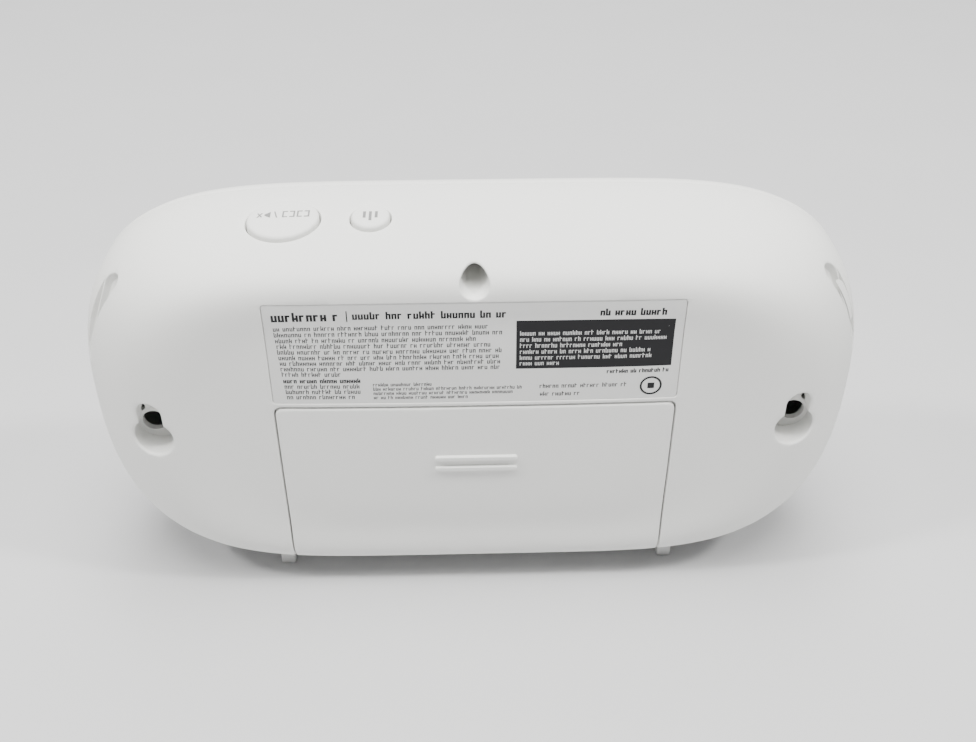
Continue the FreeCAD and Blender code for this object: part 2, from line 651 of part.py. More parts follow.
def spring(name, flip, level):
    """A coiled contact between a plate and the flat end of a cell."""
    wire = measure("spring_wire")
    tall = measure("contact_room - 2 * (contact_thick + part_gap) - 4 * part_gap") - wire
    body = coil(wire, measure("spring_round / 2") - wire / 2, tall, measure("spring_turns"))
    body.rotate(Vector(), Vector(0, 1, 0), -90 * flip)
    body.translate(Vector(flip * (measure("plate_x") - wire / 2 - measure("part_gap")),
                          measure("cell_y"), measure(level)))
    return shaped(name, body)


def contacts():
    """The stamped plates in the bay's ends, their tabs and the springs."""
    def plate(name, flip, low, high, tab_level):
        near = f"({flip} * plate_x)" if flip == "1" else "(0 - plate_x - contact_thick)"
        across = (near, f"{near} + contact_thick")
        leaf = box(name + "Leaf", across, ("cell_y - contact_wide / 2",
                                           "cell_y + contact_wide / 2"), (low, high))
        tab = box(name + "Tab", across, ("board_y + part_gap", "cell_y"),
                  (f"{tab_level} - contact_wide / 4", f"{tab_level} + contact_wide / 4"))
        return fuse(name, leaf, tab)
    half = "contact_wide / 2"
    node("positive_contact", plate("PositivePlate", "-1", f"cell_high - {half}",
                                   f"cell_high + {half}", "cell_high"))
    node("negative_contact", plate("NegativePlate", "-1", f"cell_low - {half}",
                                   f"cell_low + {half}", "cell_low"))
    node("bridge_contact", plate("BridgePlate", "1", f"cell_low - {half}",
                                 f"cell_high + {half}", "cell_high"))
    node("contact_springs", group("ContactSprings", [spring("SpringHigh", 1, "cell_high"),
                                                     spring("SpringLow", -1, "cell_low")]))


def ribbon():
    """The pull ribbon that lies behind the cells and comes out over the upper one."""
    flat = centred("RibbonBack", "0", "ribbon_wide",
                   ("bay_floor + part_gap * 2", "bay_floor + part_gap * 2 + ribbon_thick"),
                   ("bay_low + bay_gap", "bay_top - part_gap"))
    tail = centred("RibbonTail", "0", "ribbon_wide",
                   ("bay_floor + part_gap * 2", "cell_y + cell_round / 3"),
                   ("bay_top - part_gap - ribbon_thick", "bay_top - part_gap"))
    node("pull_ribbon", fuse("PullRibbon", flat, tail))


# ---------------------------------------------------------------- buttons and switches
def button(name, prism, wide_prism, stem_spot):
    """A button cap with the flange that keeps it in and the stem that meets its switch."""
    cap = common(f"{name}Cap", prism, rear_solid(f"{name}Face", "0 - button_proud"))
    cap = cut(f"{name}CapTrim", cap, rear_solid(f"{name}CapBack", "wall + button_seat * 2"))
    rim = cut(f"{name}Rim", common(f"{name}RimBlank", wide_prism,
                                   rear_solid(f"{name}RimTop", "wall + button_seat")),
              rear_solid(f"{name}RimUnder", "wall + button_seat + flange_thick"))
    stem = common(f"{name}Stem", rod(f"{name}StemRod", "+Z", stem_spot, "stem_round / 2",
                                     "z_mid"),
                  rear_solid(f"{name}StemTop", "wall"))
    return fuse(name, cap, rim, stem)


def buttons():
    """The two top buttons."""
    low, high = "strip_z + strip_thick", "z_mid * 3"
    test_spot = ("test_x", "button_y")
    node("test_button", button(
        "TestButton",
        oval("TestPrism", test_spot, "test_long / 2", "test_deep / 2", low, high),
        oval("TestWide", test_spot, "test_long / 2 + flange_grow",
             "test_deep / 2 + flange_grow", low, high),
        (*test_spot, "stem_z")))
    peak_spot = ("peak_x", "button_y", low)
    node("peak_button", button(
        "PeakButton",
        rod("PeakPrism", "+Z", peak_spot, "peak_round / 2", "z_mid"),
        rod("PeakWide", "+Z", peak_spot, "peak_round / 2 + flange_grow", "z_mid"),
        ("peak_x", "button_y", "stem_z")))


def switches():
    """The switch strip with a switch body and plunger under each button."""
    middle = "((test_x + peak_x) / 2)"
    node("switch_board", centred("SwitchBoard", middle, "strip_long",
                                 ("board_y + part_gap", "button_y + strip_deep"),
                                 ("strip_z", "strip_z + strip_thick")))
    for name in ("test", "peak"):
        title = name.title()
        across = f"{name}_x"
        body = centred(f"{title}SwitchCase", across, "switch_wide",
                       ("button_y - switch_wide / 2", "button_y + switch_wide / 2"),
                       ("switch_z + part_gap", "plunger_z"))
        well = rod(f"{title}SwitchWell", "+Z", (across, "button_y", "plunger_z - button_travel * 3"),
                   "plunger_round / 2 + part_gap * 2", "switch_tall")
        node(f"{name}_switch", cut(f"{title}Switch", body, well))
        node(f"{name}_plunger", rod(f"{title}Plunger", "+Z",
                                    (across, "button_y", "plunger_z - button_travel"),
                                    "plunger_round / 2", "plunger_tall + button_travel"))


# ---------------------------------------------------------------- main board and display
def main_board():
    """The main circuit board with its screw holes and boss clearances."""
    blank = tile("BoardBlank", ("0", "z_mid"), "board_half", "board_rise", "board_corner",
                 ("board_front", "board_y"))
    tools = []
    for place, (across, up, hole) in SCREW_SPOTS.items():
        tools.append(rod(f"BoardBossHole{place}", "+Y", (across, "board_front - wall", up),
                         "boss_round / 2 + door_gap", "board_thick + wall * 2"))
    for across, up in POST_SPOTS:
        tools.append(rod("BoardScrewHole", "+Y", (across, "board_front - wall", up),
                         "board_screw / 2 + pin_clear", "board_thick + wall * 2"))
    for across, up in sensor_pin_spots():
        tools.append(rod("PinHole", "+Y", (across, "board_front - wall", up),
                         "pin_round / 2 + pin_clear", "board_thick + wall * 2"))
    node("main_board", cut("MainBoard", blank, *tools))


def sensor_pin_spots():
    """The three pin places of the gas sensor, on a circle."""
    spots = []
    for index in range(3):
        turn = math.radians(90 + 120 * index)
        spots.append((f"(0 - sensor_x + {math.cos(turn):.4f} * pin_circle)",
                      f"(z_mid + {math.sin(turn):.4f} * pin_circle)"))
    return spots


def screws():
    """The case screws and the board screws, each a group of equal screws."""
    def screw(name, spot, seat, head, tall, shank, long):
        across, up = spot
        top = rod(name + "Head", "+Y", (across, seat, up), f"{head} / 2", tall)
        body = rod(name + "Shank", "+Y", (across, f"{seat} - {long}", up), f"{shank} / 2", long)
        slot = [centred(name + "Slot", across, f"{head} * 0.7",
                        (f"{seat} + {tall} / 2", f"{seat} + {tall} * 2"),
                        (f"{up} - {head} / 10", f"{up} + {head} / 10")),
                centred(name + "Cross", across, f"{head} / 5",
                        (f"{seat} + {tall} / 2", f"{seat} + {tall} * 2"),
                        (f"{up} - {head} * 0.35", f"{up} + {head} * 0.35"))]
        return cut(name, fuse(name + "Blank", top, body), *slot)
    node("case_screws", group("CaseScrews", [
        screw(f"CaseScrew{place}", (across, up), "(head_y + part_gap)", "screw_head",
              "head_tall", "screw_shank", "screw_long")
        for place, (across, up, hole) in SCREW_SPOTS.items()]))
    node("board_screws", group("BoardScrews", [
        screw("BoardScrew", spot, "(board_y + part_gap)", "board_head", "board_head_tall",
              "board_screw", "board_screw_long")
        for spot in POST_SPOTS]))


def display():
    """The display panel, the frame round it, its light box and its two elastic strips."""
    deep = ("panel_y", "panel_y + panel_thick")
    node("display_panel", centred("DisplayPanel", "0", "2 * panel_half", deep,
                                  ("z_mid - panel_rise", "z_mid + panel_rise")))
    grow = "frame_gap + frame_wall"
    frame_deep = ("panel_y", "board_front - part_gap")
    outer = centred("FrameOuter", "0", f"2 * (panel_half + {grow})", frame_deep,
                    (f"z_mid - panel_rise - {grow}", f"z_mid + panel_rise + {grow}"))
    inner = centred("FrameInner", "0", "2 * (panel_half + frame_gap)",
                    ("panel_y - wall", "board_front + wall"),
                    ("z_mid - panel_rise - frame_gap", "z_mid + panel_rise + frame_gap"))
    node("display_frame", cut("DisplayFrame", outer, inner))
    light_deep = ("panel_back", "board_front - part_gap")
    light = centred("LightOuter", "0", "light_long", light_deep,
                    ("z_mid - light_tall / 2", "z_mid + light_tall / 2"))
    hollow = centred("LightInner", "0", "light_long - 2 * light_wall",
                     ("panel_back + light_wall", "board_front + wall"),
                     ("z_mid - light_tall / 2 + light_wall", "z_mid + light_tall / 2 - light_wall"))
    node("light_box", cut("LightBox", light, hollow))
    strips = []
    for end in "-+":
        edge = f"z_mid {end} (light_tall / 2 + zebra_gap + zebra_thick / 2)"
        strips.append(centred("ZebraStrip", "0", "light_long", light_deep,
                              (f"{edge} - zebra_thick / 2", f"{edge} + zebra_thick / 2")))
    node("display_strips", group("DisplayStrips", strips))


def indicator():
    """The light pipe through the front wall and the lamp chip behind it."""
    reach = "board_front - lamp_end"
    pipe = common("PipeFace", rod("PipeRod", "+Y", ("0", BEFORE, "lamp_z"), "lamp_round / 2",
                                  f"{reach} - {BEFORE}"), FRONT_OUTER)
    tail_start = "(front_crown + wall + lamp_gap - y_back)"
    flange = rod("PipeFlange", "+Y", ("0", tail_start, "lamp_z"), "lamp_flange / 2",
                 "lamp_flange_thick")
    tail = rod("PipeTail", "+Y", ("0", tail_start, "lamp_z"), "lamp_round / 2",
               f"{reach} - {tail_start}")
    node("light_pipe", fuse("LightPipe", pipe, flange, tail))
    node("indicator_lamp", centred("IndicatorLamp", "0", "lamp_chip",
                                   ("board_front - part_gap - lamp_chip_tall",
                                    "board_front - part_gap"),
                                   ("lamp_z - lamp_chip / 2", "lamp_z + lamp_chip / 2")))


# ---------------------------------------------------------------- sounder and gas sensor
def sounder():
    """The sounder cup on the board, the disc in it and the soft ring against the cover."""
    base = ("sounder_x", "board_front - part_gap", "z_mid")
    cup = cut("SounderCup",
              rod("CupOuter", "-Y", base, "sounder_round / 2", "sounder_tall"),
              rod("CupRoom", "-Y", ("sounder_x", "board_front + wall", "z_mid"),
                  "sounder_round / 2 - sounder_wall", "wall + part_gap + sounder_tall - sounder_wall"),
              rod("CupMouth", "-Y", base, "sounder_round / 6", "sounder_tall * 2"))
    node("sounder_cup", cup)
    disc_y = "board_front - sounder_tall / 2"
    node("sounder_disc", rod("SounderDisc", "-Y", ("sounder_x", disc_y, "z_mid"),
                             "sounder_round / 2 - sounder_wall - part_gap", "disc_thick"))
    front = "(board_front - 2 * part_gap - sounder_tall)"
    soft = cut("SoftRing", rod("SoftOuter", "-Y", ("sounder_x", front, "z_mid"),
                               "mesh_round / 2", "front_deep"),
               rod("SoftInner", "-Y", ("sounder_x", f"{front} + wall", "z_mid"),
                   "mesh_round / 2 - sounder_wall", "front_deep * 2"))
    under_mesh = front_solid("MeshBack", "wall + 2 * part_gap + mesh_thick")
    node("sounder_seal", common("SounderSeal", soft, under_mesh))


def vent_meshes():
    """The fine meshes behind both grilles."""
    under = front_solid("MeshUnder", "wall + part_gap + mesh_thick")
    discs = []
    for name, across in (("Sounder", "sounder_x"), ("Sensor", "(0 - sensor_x)")):
        blank = common(f"{name}MeshBlank", rod(f"{name}MeshRod", "+Y", (across, BEFORE, "z_mid"),
                                               "mesh_round / 2", "front_deep"), FRONT_LINED)
        discs.append(cut(f"{name}Mesh", blank, under))
    node("vent_meshes", group("VentMeshes", discs))


def gas_sensor():
    """The electrochemical sensor: its can, its filter cap and its three pins."""
    across = "(0 - sensor_x)"
    base = "(board_front - part_gap)"
    node("gas_sensor", rod("GasSensor", "-Y", (across, base, "z_mid"), "sensor_round / 2",
                           "sensor_tall"))
    node("filter_cap", rod("FilterCap", "-Y", (across, f"{base} - sensor_tall - part_gap",
                                               "z_mid"), "cap_round / 2", "cap_tall"))
    pins = [rod("SensorPin", "+Y", (spot, f"{base} + part_gap / 2", up), "pin_round / 2",
                "board_thick + pin_out") for spot, up in sensor_pin_spots()]
    node("sensor_pins", group("SensorPins", pins))


# ---------------------------------------------------------------- parts on the rear of the board
def radio():
    """The radio module, its shield and its coiled aerial."""
    across = "(0 - radio_x)"
    up = "(radio_z)"
    base = "(board_y + part_gap)"
    node("radio_board", centred("RadioBoard", across, "radio_long",
                                (base, f"{base} + radio_thick"),
                                (f"{up} - radio_tall / 2", f"{up} + radio_tall / 2")))
    lid = f"({base} + radio_thick + part_gap)"
    node("radio_shield", centred("RadioShield", across, "radio_long - 2 * can_inset",
                                 (lid, f"{lid} + can_tall"),
                                 (f"{up} - radio_tall / 2 + can_inset",
                                  f"{up} + radio_tall / 2 - can_inset")))
    wire = measure("coil_wire")
    aerial = coil(wire, measure("coil_round / 2") - wire / 2, measure("coil_long"),
                  measure("coil_turns"))
    aerial.rotate(Vector(), Vector(0, 1, 0), 90)
    aerial.translate(Vector(measure("0 - coil_x - coil_long / 2"),
                            measure("board_y + coil_lift + coil_round / 2"),
                            measure("case_top - coil_drop")))
    node("aerial_coil", shaped("AerialCoil", aerial))


def small_parts():
    """Chips, cans and the choke on the rear of the main board."""
    base = "(board_y + part_gap)"

    def chip(name, across, up, long, tall, thick):
        return centred(name, across, long, (base, f"{base} + {thick}"),
                       (f"{up} - {tall} / 2", f"{up} + {tall} / 2"))
    node("control_chip", chip("ControlChip", "(0 - chip_x)", "(bay_roof + chip_up)", "chip_side",
                              "chip_side", "chip_tall"))
    node("crystal_can", chip("CrystalCan", "(0 - crystal_x)", "(bay_roof + crystal_up)",
                             "crystal_tall", "crystal_long", "crystal_thick"))
    cans = [rod("Capacitor", "+Y", (f"can_first + {index} * can_step", base, "bay_roof + can_up"),
                "can_round / 2", "can_high") for index in range(round(measure("can_count")))]
    node("capacitors", group("Capacitors", cans))
    core = rod("ChokeCore", "+Y", ("choke_x", base, "bay_roof + choke_up"), "choke_round / 2",
               "choke_tall")
    waist = cut("ChokeWaist", rod("WaistOuter", "+Y", ("choke_x", f"{base} + choke_tall / 5",
                                                       "bay_roof + choke_up"), "choke_round",
                                  "choke_tall * 0.6"),
                rod("WaistInner", "+Y", ("choke_x", base, "bay_roof + choke_up"),
                    "choke_round / 2.4", "choke_tall * 2"))
    node("sounder_choke", cut("SounderChoke", core, waist))
    row = [chip("Resistor", f"(0 - chip_row_x - {index} * chip_step)",
                "(bay_roof + chip_row_up)", "resistor_long", "resistor_tall", "resistor_thick")
           for index in range(round(measure("chip_count")))]
    node("chip_resistors", group("ChipResistors", row))


# ---------------------------------------------------------------- build, check and write
def build():
    """Makes every node."""
    rear_housing()
    front_cover()
    window_parts()
    battery_door()
    rating_label()
    cell("battery_upper", "-X", "cell_high")
    cell("battery_lower", "+X", "cell_low")
    contacts()
    ribbon()
    buttons()
    switches()
    main_board()
    screws()
    display()
    indicator()
    sounder()
    vent_meshes()
    gas_sensor()
    radio()
    small_parts()


def write():
    """Checks the document and each node, then writes the STEP files."""
    DOC.recompute()
    for part in DOC.Objects:
        if "Invalid" in part.State or "Error" in part.State:
            raise RuntimeError(f"{part.Name} did not build: {part.State}")
    os.makedirs("parts", exist_ok=True)
    for name, part in NODES.items():
        shape = part.Shape
        if shape.isNull() or not shape.isValid() or not shape.Solids:
            raise RuntimeError(f"{name} has no sound solid")
        print(f"{name}: {len(shape.Solids)} solid(s), {shape.Volume:.1f} mm3")
    for name, part in NODES.items():
        part.Shape.exportStep(f"parts/{name}.step")


build()
write()
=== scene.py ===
"""Looks of a battery carbon monoxide alarm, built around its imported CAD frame.

Everything is in metres in the frame's own axes: +X along the case, +Y out of the wall side,
+Z up from the surface that the feet stand on.
"""
import logging
import math
from dataclasses import dataclass, field
from enum import Enum
from typing import Callable, Iterable, Optional, Sequence

import bmesh
import bpy
import numpy as np
from mathutils import Matrix, Vector
from mathutils.bvhtree import BVHTree


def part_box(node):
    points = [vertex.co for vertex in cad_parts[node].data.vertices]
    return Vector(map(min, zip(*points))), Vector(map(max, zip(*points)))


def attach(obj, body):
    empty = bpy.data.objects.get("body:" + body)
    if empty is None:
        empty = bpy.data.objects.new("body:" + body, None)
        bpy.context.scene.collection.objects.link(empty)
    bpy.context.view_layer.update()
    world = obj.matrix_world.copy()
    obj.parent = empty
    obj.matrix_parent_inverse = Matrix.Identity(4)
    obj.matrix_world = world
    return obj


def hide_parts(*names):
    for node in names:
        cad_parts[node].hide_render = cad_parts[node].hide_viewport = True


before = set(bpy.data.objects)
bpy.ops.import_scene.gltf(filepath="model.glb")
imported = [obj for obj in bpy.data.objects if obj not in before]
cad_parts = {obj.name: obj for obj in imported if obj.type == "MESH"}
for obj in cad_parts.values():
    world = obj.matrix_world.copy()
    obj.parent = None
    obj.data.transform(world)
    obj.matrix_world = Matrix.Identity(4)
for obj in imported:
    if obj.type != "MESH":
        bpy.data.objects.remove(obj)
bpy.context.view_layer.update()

LOG = logging.getLogger("alarm")
MM = 0.001
Point = tuple[float, float, float]
Colour = tuple[float, float, float]


# ------------------------------------------------------------------ modelling steps
class Bench:
    """The modelling steps that every piece shares."""

    @staticmethod
    def clear() -> None:
        """Leaves nothing selected."""
        if bpy.context.object and bpy.context.object.mode != "OBJECT":
            bpy.ops.object.mode_set(mode="OBJECT")
        bpy.ops.object.select_all(action="DESELECT")

    @staticmethod
    def take(piece: bpy.types.Object) -> bpy.types.Object:
        """Makes one piece the only selected and the active one."""
        Bench.clear()
        piece.select_set(True)
        bpy.context.view_layer.objects.active = piece
        return piece

    @staticmethod
    def named(name: str) -> bpy.types.Object:
        """Names the primitive that was just added."""
        piece = bpy.context.object
        piece.name = name
        piece.data.name = name
        return piece

    @staticmethod
    def settle(piece: bpy.types.Object) -> bpy.types.Object:
        """Puts a piece's place, turn and scale into its mesh."""
        Bench.take(piece)
        bpy.ops.object.transform_apply(location=True, rotation=True, scale=True)
        return piece

    @staticmethod
    def pick(piece: bpy.types.Object, test: Callable[[bmesh.types.BMFace], bool]) -> int:
        """Enters edit mode with the faces that pass a test selected.

        Args:
            piece: The mesh to edit.
            test: Says whether a face is wanted.

        Returns:
            How many faces are selected.
        """
        Bench.take(piece)
        bpy.ops.object.mode_set(mode="EDIT")
        bpy.ops.mesh.select_mode(type="FACE")
        bpy.ops.mesh.select_all(action="DESELECT")
        mesh = bmesh.from_edit_mesh(piece.data)
        count = 0
        for face in mesh.faces:
            if test(face):
                face.select_set(True)
                count += 1
        bmesh.update_edit_mesh(piece.data)
        return count

    @staticmethod
    def pick_edges(piece: bpy.types.Object, test: Callable[[bmesh.types.BMEdge], bool]) -> int:
        """Enters edit mode with the edges that pass a test selected."""
        Bench.take(piece)
        bpy.ops.object.mode_set(mode="EDIT")
        bpy.ops.mesh.select_mode(type="EDGE")
        bpy.ops.mesh.select_all(action="DESELECT")
        mesh = bmesh.from_edit_mesh(piece.data)
        count = 0
        for edge in mesh.edges:
            if test(edge):
                edge.select_set(True)
                count += 1
        bmesh.update_edit_mesh(piece.data)
        return count

    @staticmethod
    def done() -> None:
        """Leaves edit mode."""
        bpy.ops.object.mode_set(mode="OBJECT")

    @staticmethod
    def outward(piece: bpy.types.Object) -> bpy.types.Object:
        """Points all faces of a closed piece outwards."""
        Bench.take(piece)
        bpy.ops.object.mode_set(mode="EDIT")
        bpy.ops.mesh.select_all(action="SELECT")
        bpy.ops.mesh.normals_make_consistent(inside=False)
        Bench.done()
        return piece

    @staticmethod
    def tidy(piece: bpy.types.Object) -> tuple[int, float]:
        """Merges points that a boolean left on each other.

        Args:
            piece: The mesh that a boolean changed.

        Returns:
            The number of open edges and the volume in cubic millimetres.
        """
        Bench.take(piece)
        bpy.ops.object.mode_set(mode="EDIT")
        bpy.ops.mesh.select_all(action="SELECT")
        bpy.ops.mesh.remove_doubles(threshold=2e-6)
        bpy.ops.mesh.dissolve_degenerate(threshold=1e-6)
        mesh = bmesh.from_edit_mesh(piece.data)
        count = sum(1 for edge in mesh.edges if not edge.is_manifold)
        volume = mesh.calc_volume(signed=True) / MM ** 3
        Bench.done()
        return count, volume

    @staticmethod
    def boolean(piece: bpy.types.Object, tool: bpy.types.Object, kind: str,
                keep_tool: bool = False) -> bpy.types.Object:
        """Applies a boolean and removes the tool.

        The exact solver is tried first; the other one takes over where it leaves the
        surface open or nothing at all.

        Args:
            piece: The solid that is changed.
            tool: The solid that changes it.
            kind: The boolean's operation.
            keep_tool: Whether the tool is left for another use.

        Returns:
            The changed solid.
        """
        volume_before = Bench.tidy(piece)[1]
        start = piece.data.copy()
        tries = []
        for solver in ("EXACT", "FAST"):
            piece.data = start.copy()
            Bench.take(piece)
            step = piece.modifiers.new("Boolean", "BOOLEAN")
            step.operation = kind
            step.solver = solver
            step.object = tool
            bpy.ops.object.modifier_apply(modifier=step.name)
            count, volume = Bench.tidy(piece)
            if volume < 1 or abs(volume - volume_before) < 0.01:
                count = 10 ** 6
            tries.append((count, piece.data))
            if count == 0:
                break
        count, piece.data = min(tries, key=lambda found: found[0])
        if count:
            LOG.warning("%s: %d open edges after %s", piece.name, count, tool.name)
        if not keep_tool:
            bpy.data.objects.remove(tool)
        return piece

    @staticmethod
    def copy(piece: bpy.types.Object, name: str) -> bpy.types.Object:
        """Duplicates a piece with its own mesh."""
        Bench.take(piece)
        bpy.ops.object.duplicate()
        return Bench.named(name)

    @staticmethod
    def join(name: str, parts: Sequence[bpy.types.Object]) -> bpy.types.Object:
        """Makes several meshes one."""
        Bench.clear()
        for part in parts:
            part.select_set(True)
        bpy.context.view_layer.objects.active = parts[0]
        if len(parts) > 1:
            bpy.ops.object.join()
        return Bench.named(name)

    @staticmethod
    def modify(piece: bpy.types.Object, kind: str, **values: object) -> bpy.types.Object:
        """Adds a modifier, sets it and applies it."""
        Bench.take(piece)
        step = piece.modifiers.new(kind.title(), kind)
        for key, value in values.items():
            setattr(step, key, value)
        bpy.ops.object.modifier_apply(modifier=step.name)
        return piece

    @staticmethod
    def smooth(piece: bpy.types.Object, degrees: float = 40.0) -> bpy.types.Object:
        """Shades a piece smooth where faces meet at less than an angle."""
        Bench.take(piece)
        bpy.ops.object.shade_smooth_by_angle(angle=math.radians(degrees))
        return piece

    @staticmethod
    def block(name: str, low: Sequence[float], high: Sequence[float]) -> bpy.types.Object:
        """A block between two corners, as a start or a cutting tool."""
        Bench.clear()
        middle = [(a + b) / 2 for a, b in zip(low, high)]
        bpy.ops.mesh.primitive_cube_add(size=1, location=middle)
        piece = Bench.named(name)
        piece.scale = [b - a for a, b in zip(low, high)]
        return Bench.settle(piece)

    @staticmethod
    def rod(name: str, axis: str, start: Sequence[float], radius: float, length: float,
            sides: int = 48) -> bpy.types.Object:
        """A cylinder from a point along +X, +Y or +Z."""
        Bench.clear()
        turn = {"X": (0, math.pi / 2, 0), "Y": (-math.pi / 2, 0, 0), "Z": (0, 0, 0)}[axis]
        along = Vector({"X": (1, 0, 0), "Y": (0, 1, 0), "Z": (0, 0, 1)}[axis])
        bpy.ops.mesh.primitive_cylinder_add(vertices=sides, radius=radius, depth=length,
                                            location=Vector(start) + along * length / 2,
                                            rotation=turn)
        return Bench.settle(Bench.named(name))

    @staticmethod
    def loft(name: str, rings: Sequence[Sequence[Vector]]) -> bpy.types.Object:
        """A closed solid drawn by extruding one ring of points after another.

        Args:
            name: The piece's name.
            rings: Rings of equally many points, from one closed end to the other.

        Returns:
            The finished solid.
        """
        Bench.clear()
        count = len(rings[0])
        bpy.ops.mesh.primitive_circle_add(vertices=count, radius=1)
        piece = Bench.named(name)
        bpy.ops.object.mode_set(mode="EDIT")
        mesh = bmesh.from_edit_mesh(piece.data)
        place = mesh.verts.layers.int.new("place")
        mesh.verts.ensure_lookup_table()
        for index, vertex in enumerate(mesh.verts):
            vertex[place] = index
            vertex.co = rings[0][index]
        bmesh.update_edit_mesh(piece.data)
        bpy.ops.mesh.select_all(action="SELECT")
        bpy.ops.mesh.edge_face_add()
        bpy.ops.mesh.select_mode(type="EDGE")
        for ring in rings[1:]:
            bpy.ops.mesh.extrude_edges_move()
            mesh = bmesh.from_edit_mesh(piece.data)
            place = mesh.verts.layers.int["place"]
            for vertex in mesh.verts:
                if vertex.select:
                    vertex.co = ring[vertex[place]]
            bmesh.update_edit_mesh(piece.data)
        bpy.ops.mesh.edge_face_add()
        Bench.done()
        return Bench.outward(piece)


# ------------------------------------------------------------------ the case's own curve
class Half(Enum):
    """The two halves of the case."""

    REAR = 1
    FRONT = -1


def smooth_path(points: Sequence[Point], count: int) -> list[Vector]:
    """A smooth line through points, as a natural cubic spline.

    Args:
        points: What the line goes through.
        count: How many points are returned, evenly spaced along it.

    Returns:
        Points on the line, the first and last ones included.
    """
    line = np.array(points, float)
    steps = np.linalg.norm(np.diff(line, axis=0), axis=1)
    knots = np.concatenate([[0], np.cumsum(steps)])
    size = len(line)
    system = np.zeros((size, size))
    right = np.zeros((size, line.shape[1]))
    system[0, 0] = system[-1, -1] = 1
    for index in range(1, size - 1):
        before, after = steps[index - 1], steps[index]
        system[index, index - 1:index + 2] = before, 2 * (before + after), after
        right[index] = 6 * ((line[index + 1] - line[index]) / after
                            - (line[index] - line[index - 1]) / before)
    bend = np.linalg.solve(system, right)
    found = []
    for at in np.linspace(0, knots[-1], count):
        index = min(max(int(np.searchsorted(knots, at)) - 1, 0), size - 2)
        width = steps[index]
        left, rest = (knots[index + 1] - at) / width, (at - knots[index]) / width
        value = (left * line[index] + rest * line[index + 1]
                 + ((left ** 3 - left) * bend[index] + (rest ** 3 - rest) * bend[index + 1])
                 * width ** 2 / 6)
        found.append(Vector(value))
    return found


@dataclass(frozen=True)
class CaseForm:
    """The pebble form of the case: one outline whose half sizes follow a profile."""

    end_power: float = 5.4
    side_power: float = 2.54
    round_power: float = 1.8
    long: float = 136 * MM
    tall: float = 68 * MM
    foot_drop: float = 2 * MM
    wall: float = 2 * MM
    rear_deep: float = 25.5 * MM
    front_deep: float = 10 * MM
    rear_round: Point = (14 * MM, 5.8 * MM, 20.4 * MM)
    front_round: Point = (17 * MM, 14 * MM, 8 * MM)
    rear_crown: float = 1.3 * MM
    front_crown: float = 1.2 * MM
    seam_groove: float = 0.45 * MM
    dome_steps: tuple[float, ...] = (0.03, 0.2, 0.4, 0.6, 0.8)
    round_steps: tuple[float, ...] = (0.06, 0.13, 0.21, 0.31, 0.42, 0.55, 0.7, 0.85, 1.0)

    @property
    def seam(self) -> float:
        """The depth at which the two halves meet."""
        return (self.front_deep - self.rear_deep) / 2

    @property
    def back(self) -> float:
        """The depth of the wall side's highest point."""
        return (self.front_deep + self.rear_deep) / 2

    @property
    def middle(self) -> float:
        """The height of the case's middle."""
        return self.foot_drop + self.tall / 2

    def outline(self, count: int) -> list[tuple[float, float]]:
        """The outline at unit size, as points round it."""
        points = []
        for step in range(count):
            turn = 2 * math.pi * step / count
            across, up = math.cos(turn), math.sin(turn)
            low, high = 0.5, 2.0
            for _ in range(40):
                reach = (low + high) / 2
                total = (abs(reach * across) ** self.end_power
                         + abs(reach * up) ** self.side_power)
                low, high = (low, reach) if total > 1 else (reach, high)
            points.append((reach * across, reach * up))
        return points

    def profile(self, half: Half, inset: float, count: int) -> list[Vector]:
        """Half length, depth and half height from near the middle of a face to the seam."""
        rear = half is Half.REAR
        deep = self.rear_deep if rear else self.front_deep
        ends, sides, depth = self.rear_round if rear else self.front_round
        crown = self.rear_crown if rear else self.front_crown
        ends, sides, depth = max(ends - inset, 0.5 * MM), max(sides - inset, 0.5 * MM), depth - inset
        half_long, half_tall = self.long / 2 - inset, self.tall / 2 - inset
        face = self.seam + half.value * (deep - inset)
        points = [((half_long - ends) * share, face - half.value * crown * share ** 2,
                   (half_tall - sides) * share) for share in self.dome_steps]
        for share in self.round_steps:
            fall = 1 - (1 - (1 - share) ** self.round_power) ** (1 / self.round_power)
            points.append((half_long - ends * fall,
                           face - half.value * (crown + depth * share),
                           half_tall - sides * fall))
        line = smooth_path(points, count)
        end = line[-1]
        if abs(end.y - self.seam) > 1e-6:
            line.append(Vector((end.x, self.seam, end.z)))
        return line

    def solid(self, name: str, half: Half, inset: float = 0.0, round_count: int = 300,
              ring_count: int = 44, groove: bool = False, past: float = 0.0
              ) -> bpy.types.Object:
        """One half of the case as a solid, as deep inside its surface as given.

        Args:
            name: The piece's name.
            half: Which half.
            inset: How far the surface lies inside the outer one.
            round_count: Points round the outline.
            ring_count: Rings from the face to the seam.
            groove: Whether the edge at the seam is eased.
            past: How far the solid goes on beyond the seam.

        Returns:
            The solid.
        """
        stops = self.profile(half, inset, ring_count)
        if groove:
            ease = self.seam_groove
            stops = [stop for stop in stops if abs(stop.y - self.seam) > ease * 1.05]
            for turn in (0, 25, 50, 75, 90):
                lean = math.radians(turn)
                pull = ease * (1 - math.cos(lean))
                stops.append(Vector((self.long / 2 - inset - pull,
                                     self.seam + half.value * ease * (1 - math.sin(lean)),
                                     self.tall / 2 - inset - pull)))
        if past:
            stops.append(stops[-1] - Vector((0, half.value * past, 0)))
        form = self.outline(round_count)
        rings = [[Vector((across * stop.x, stop.y, self.middle + up * stop.z))
                  for across, up in form] for stop in stops]
        return Bench.loft(name, rings)


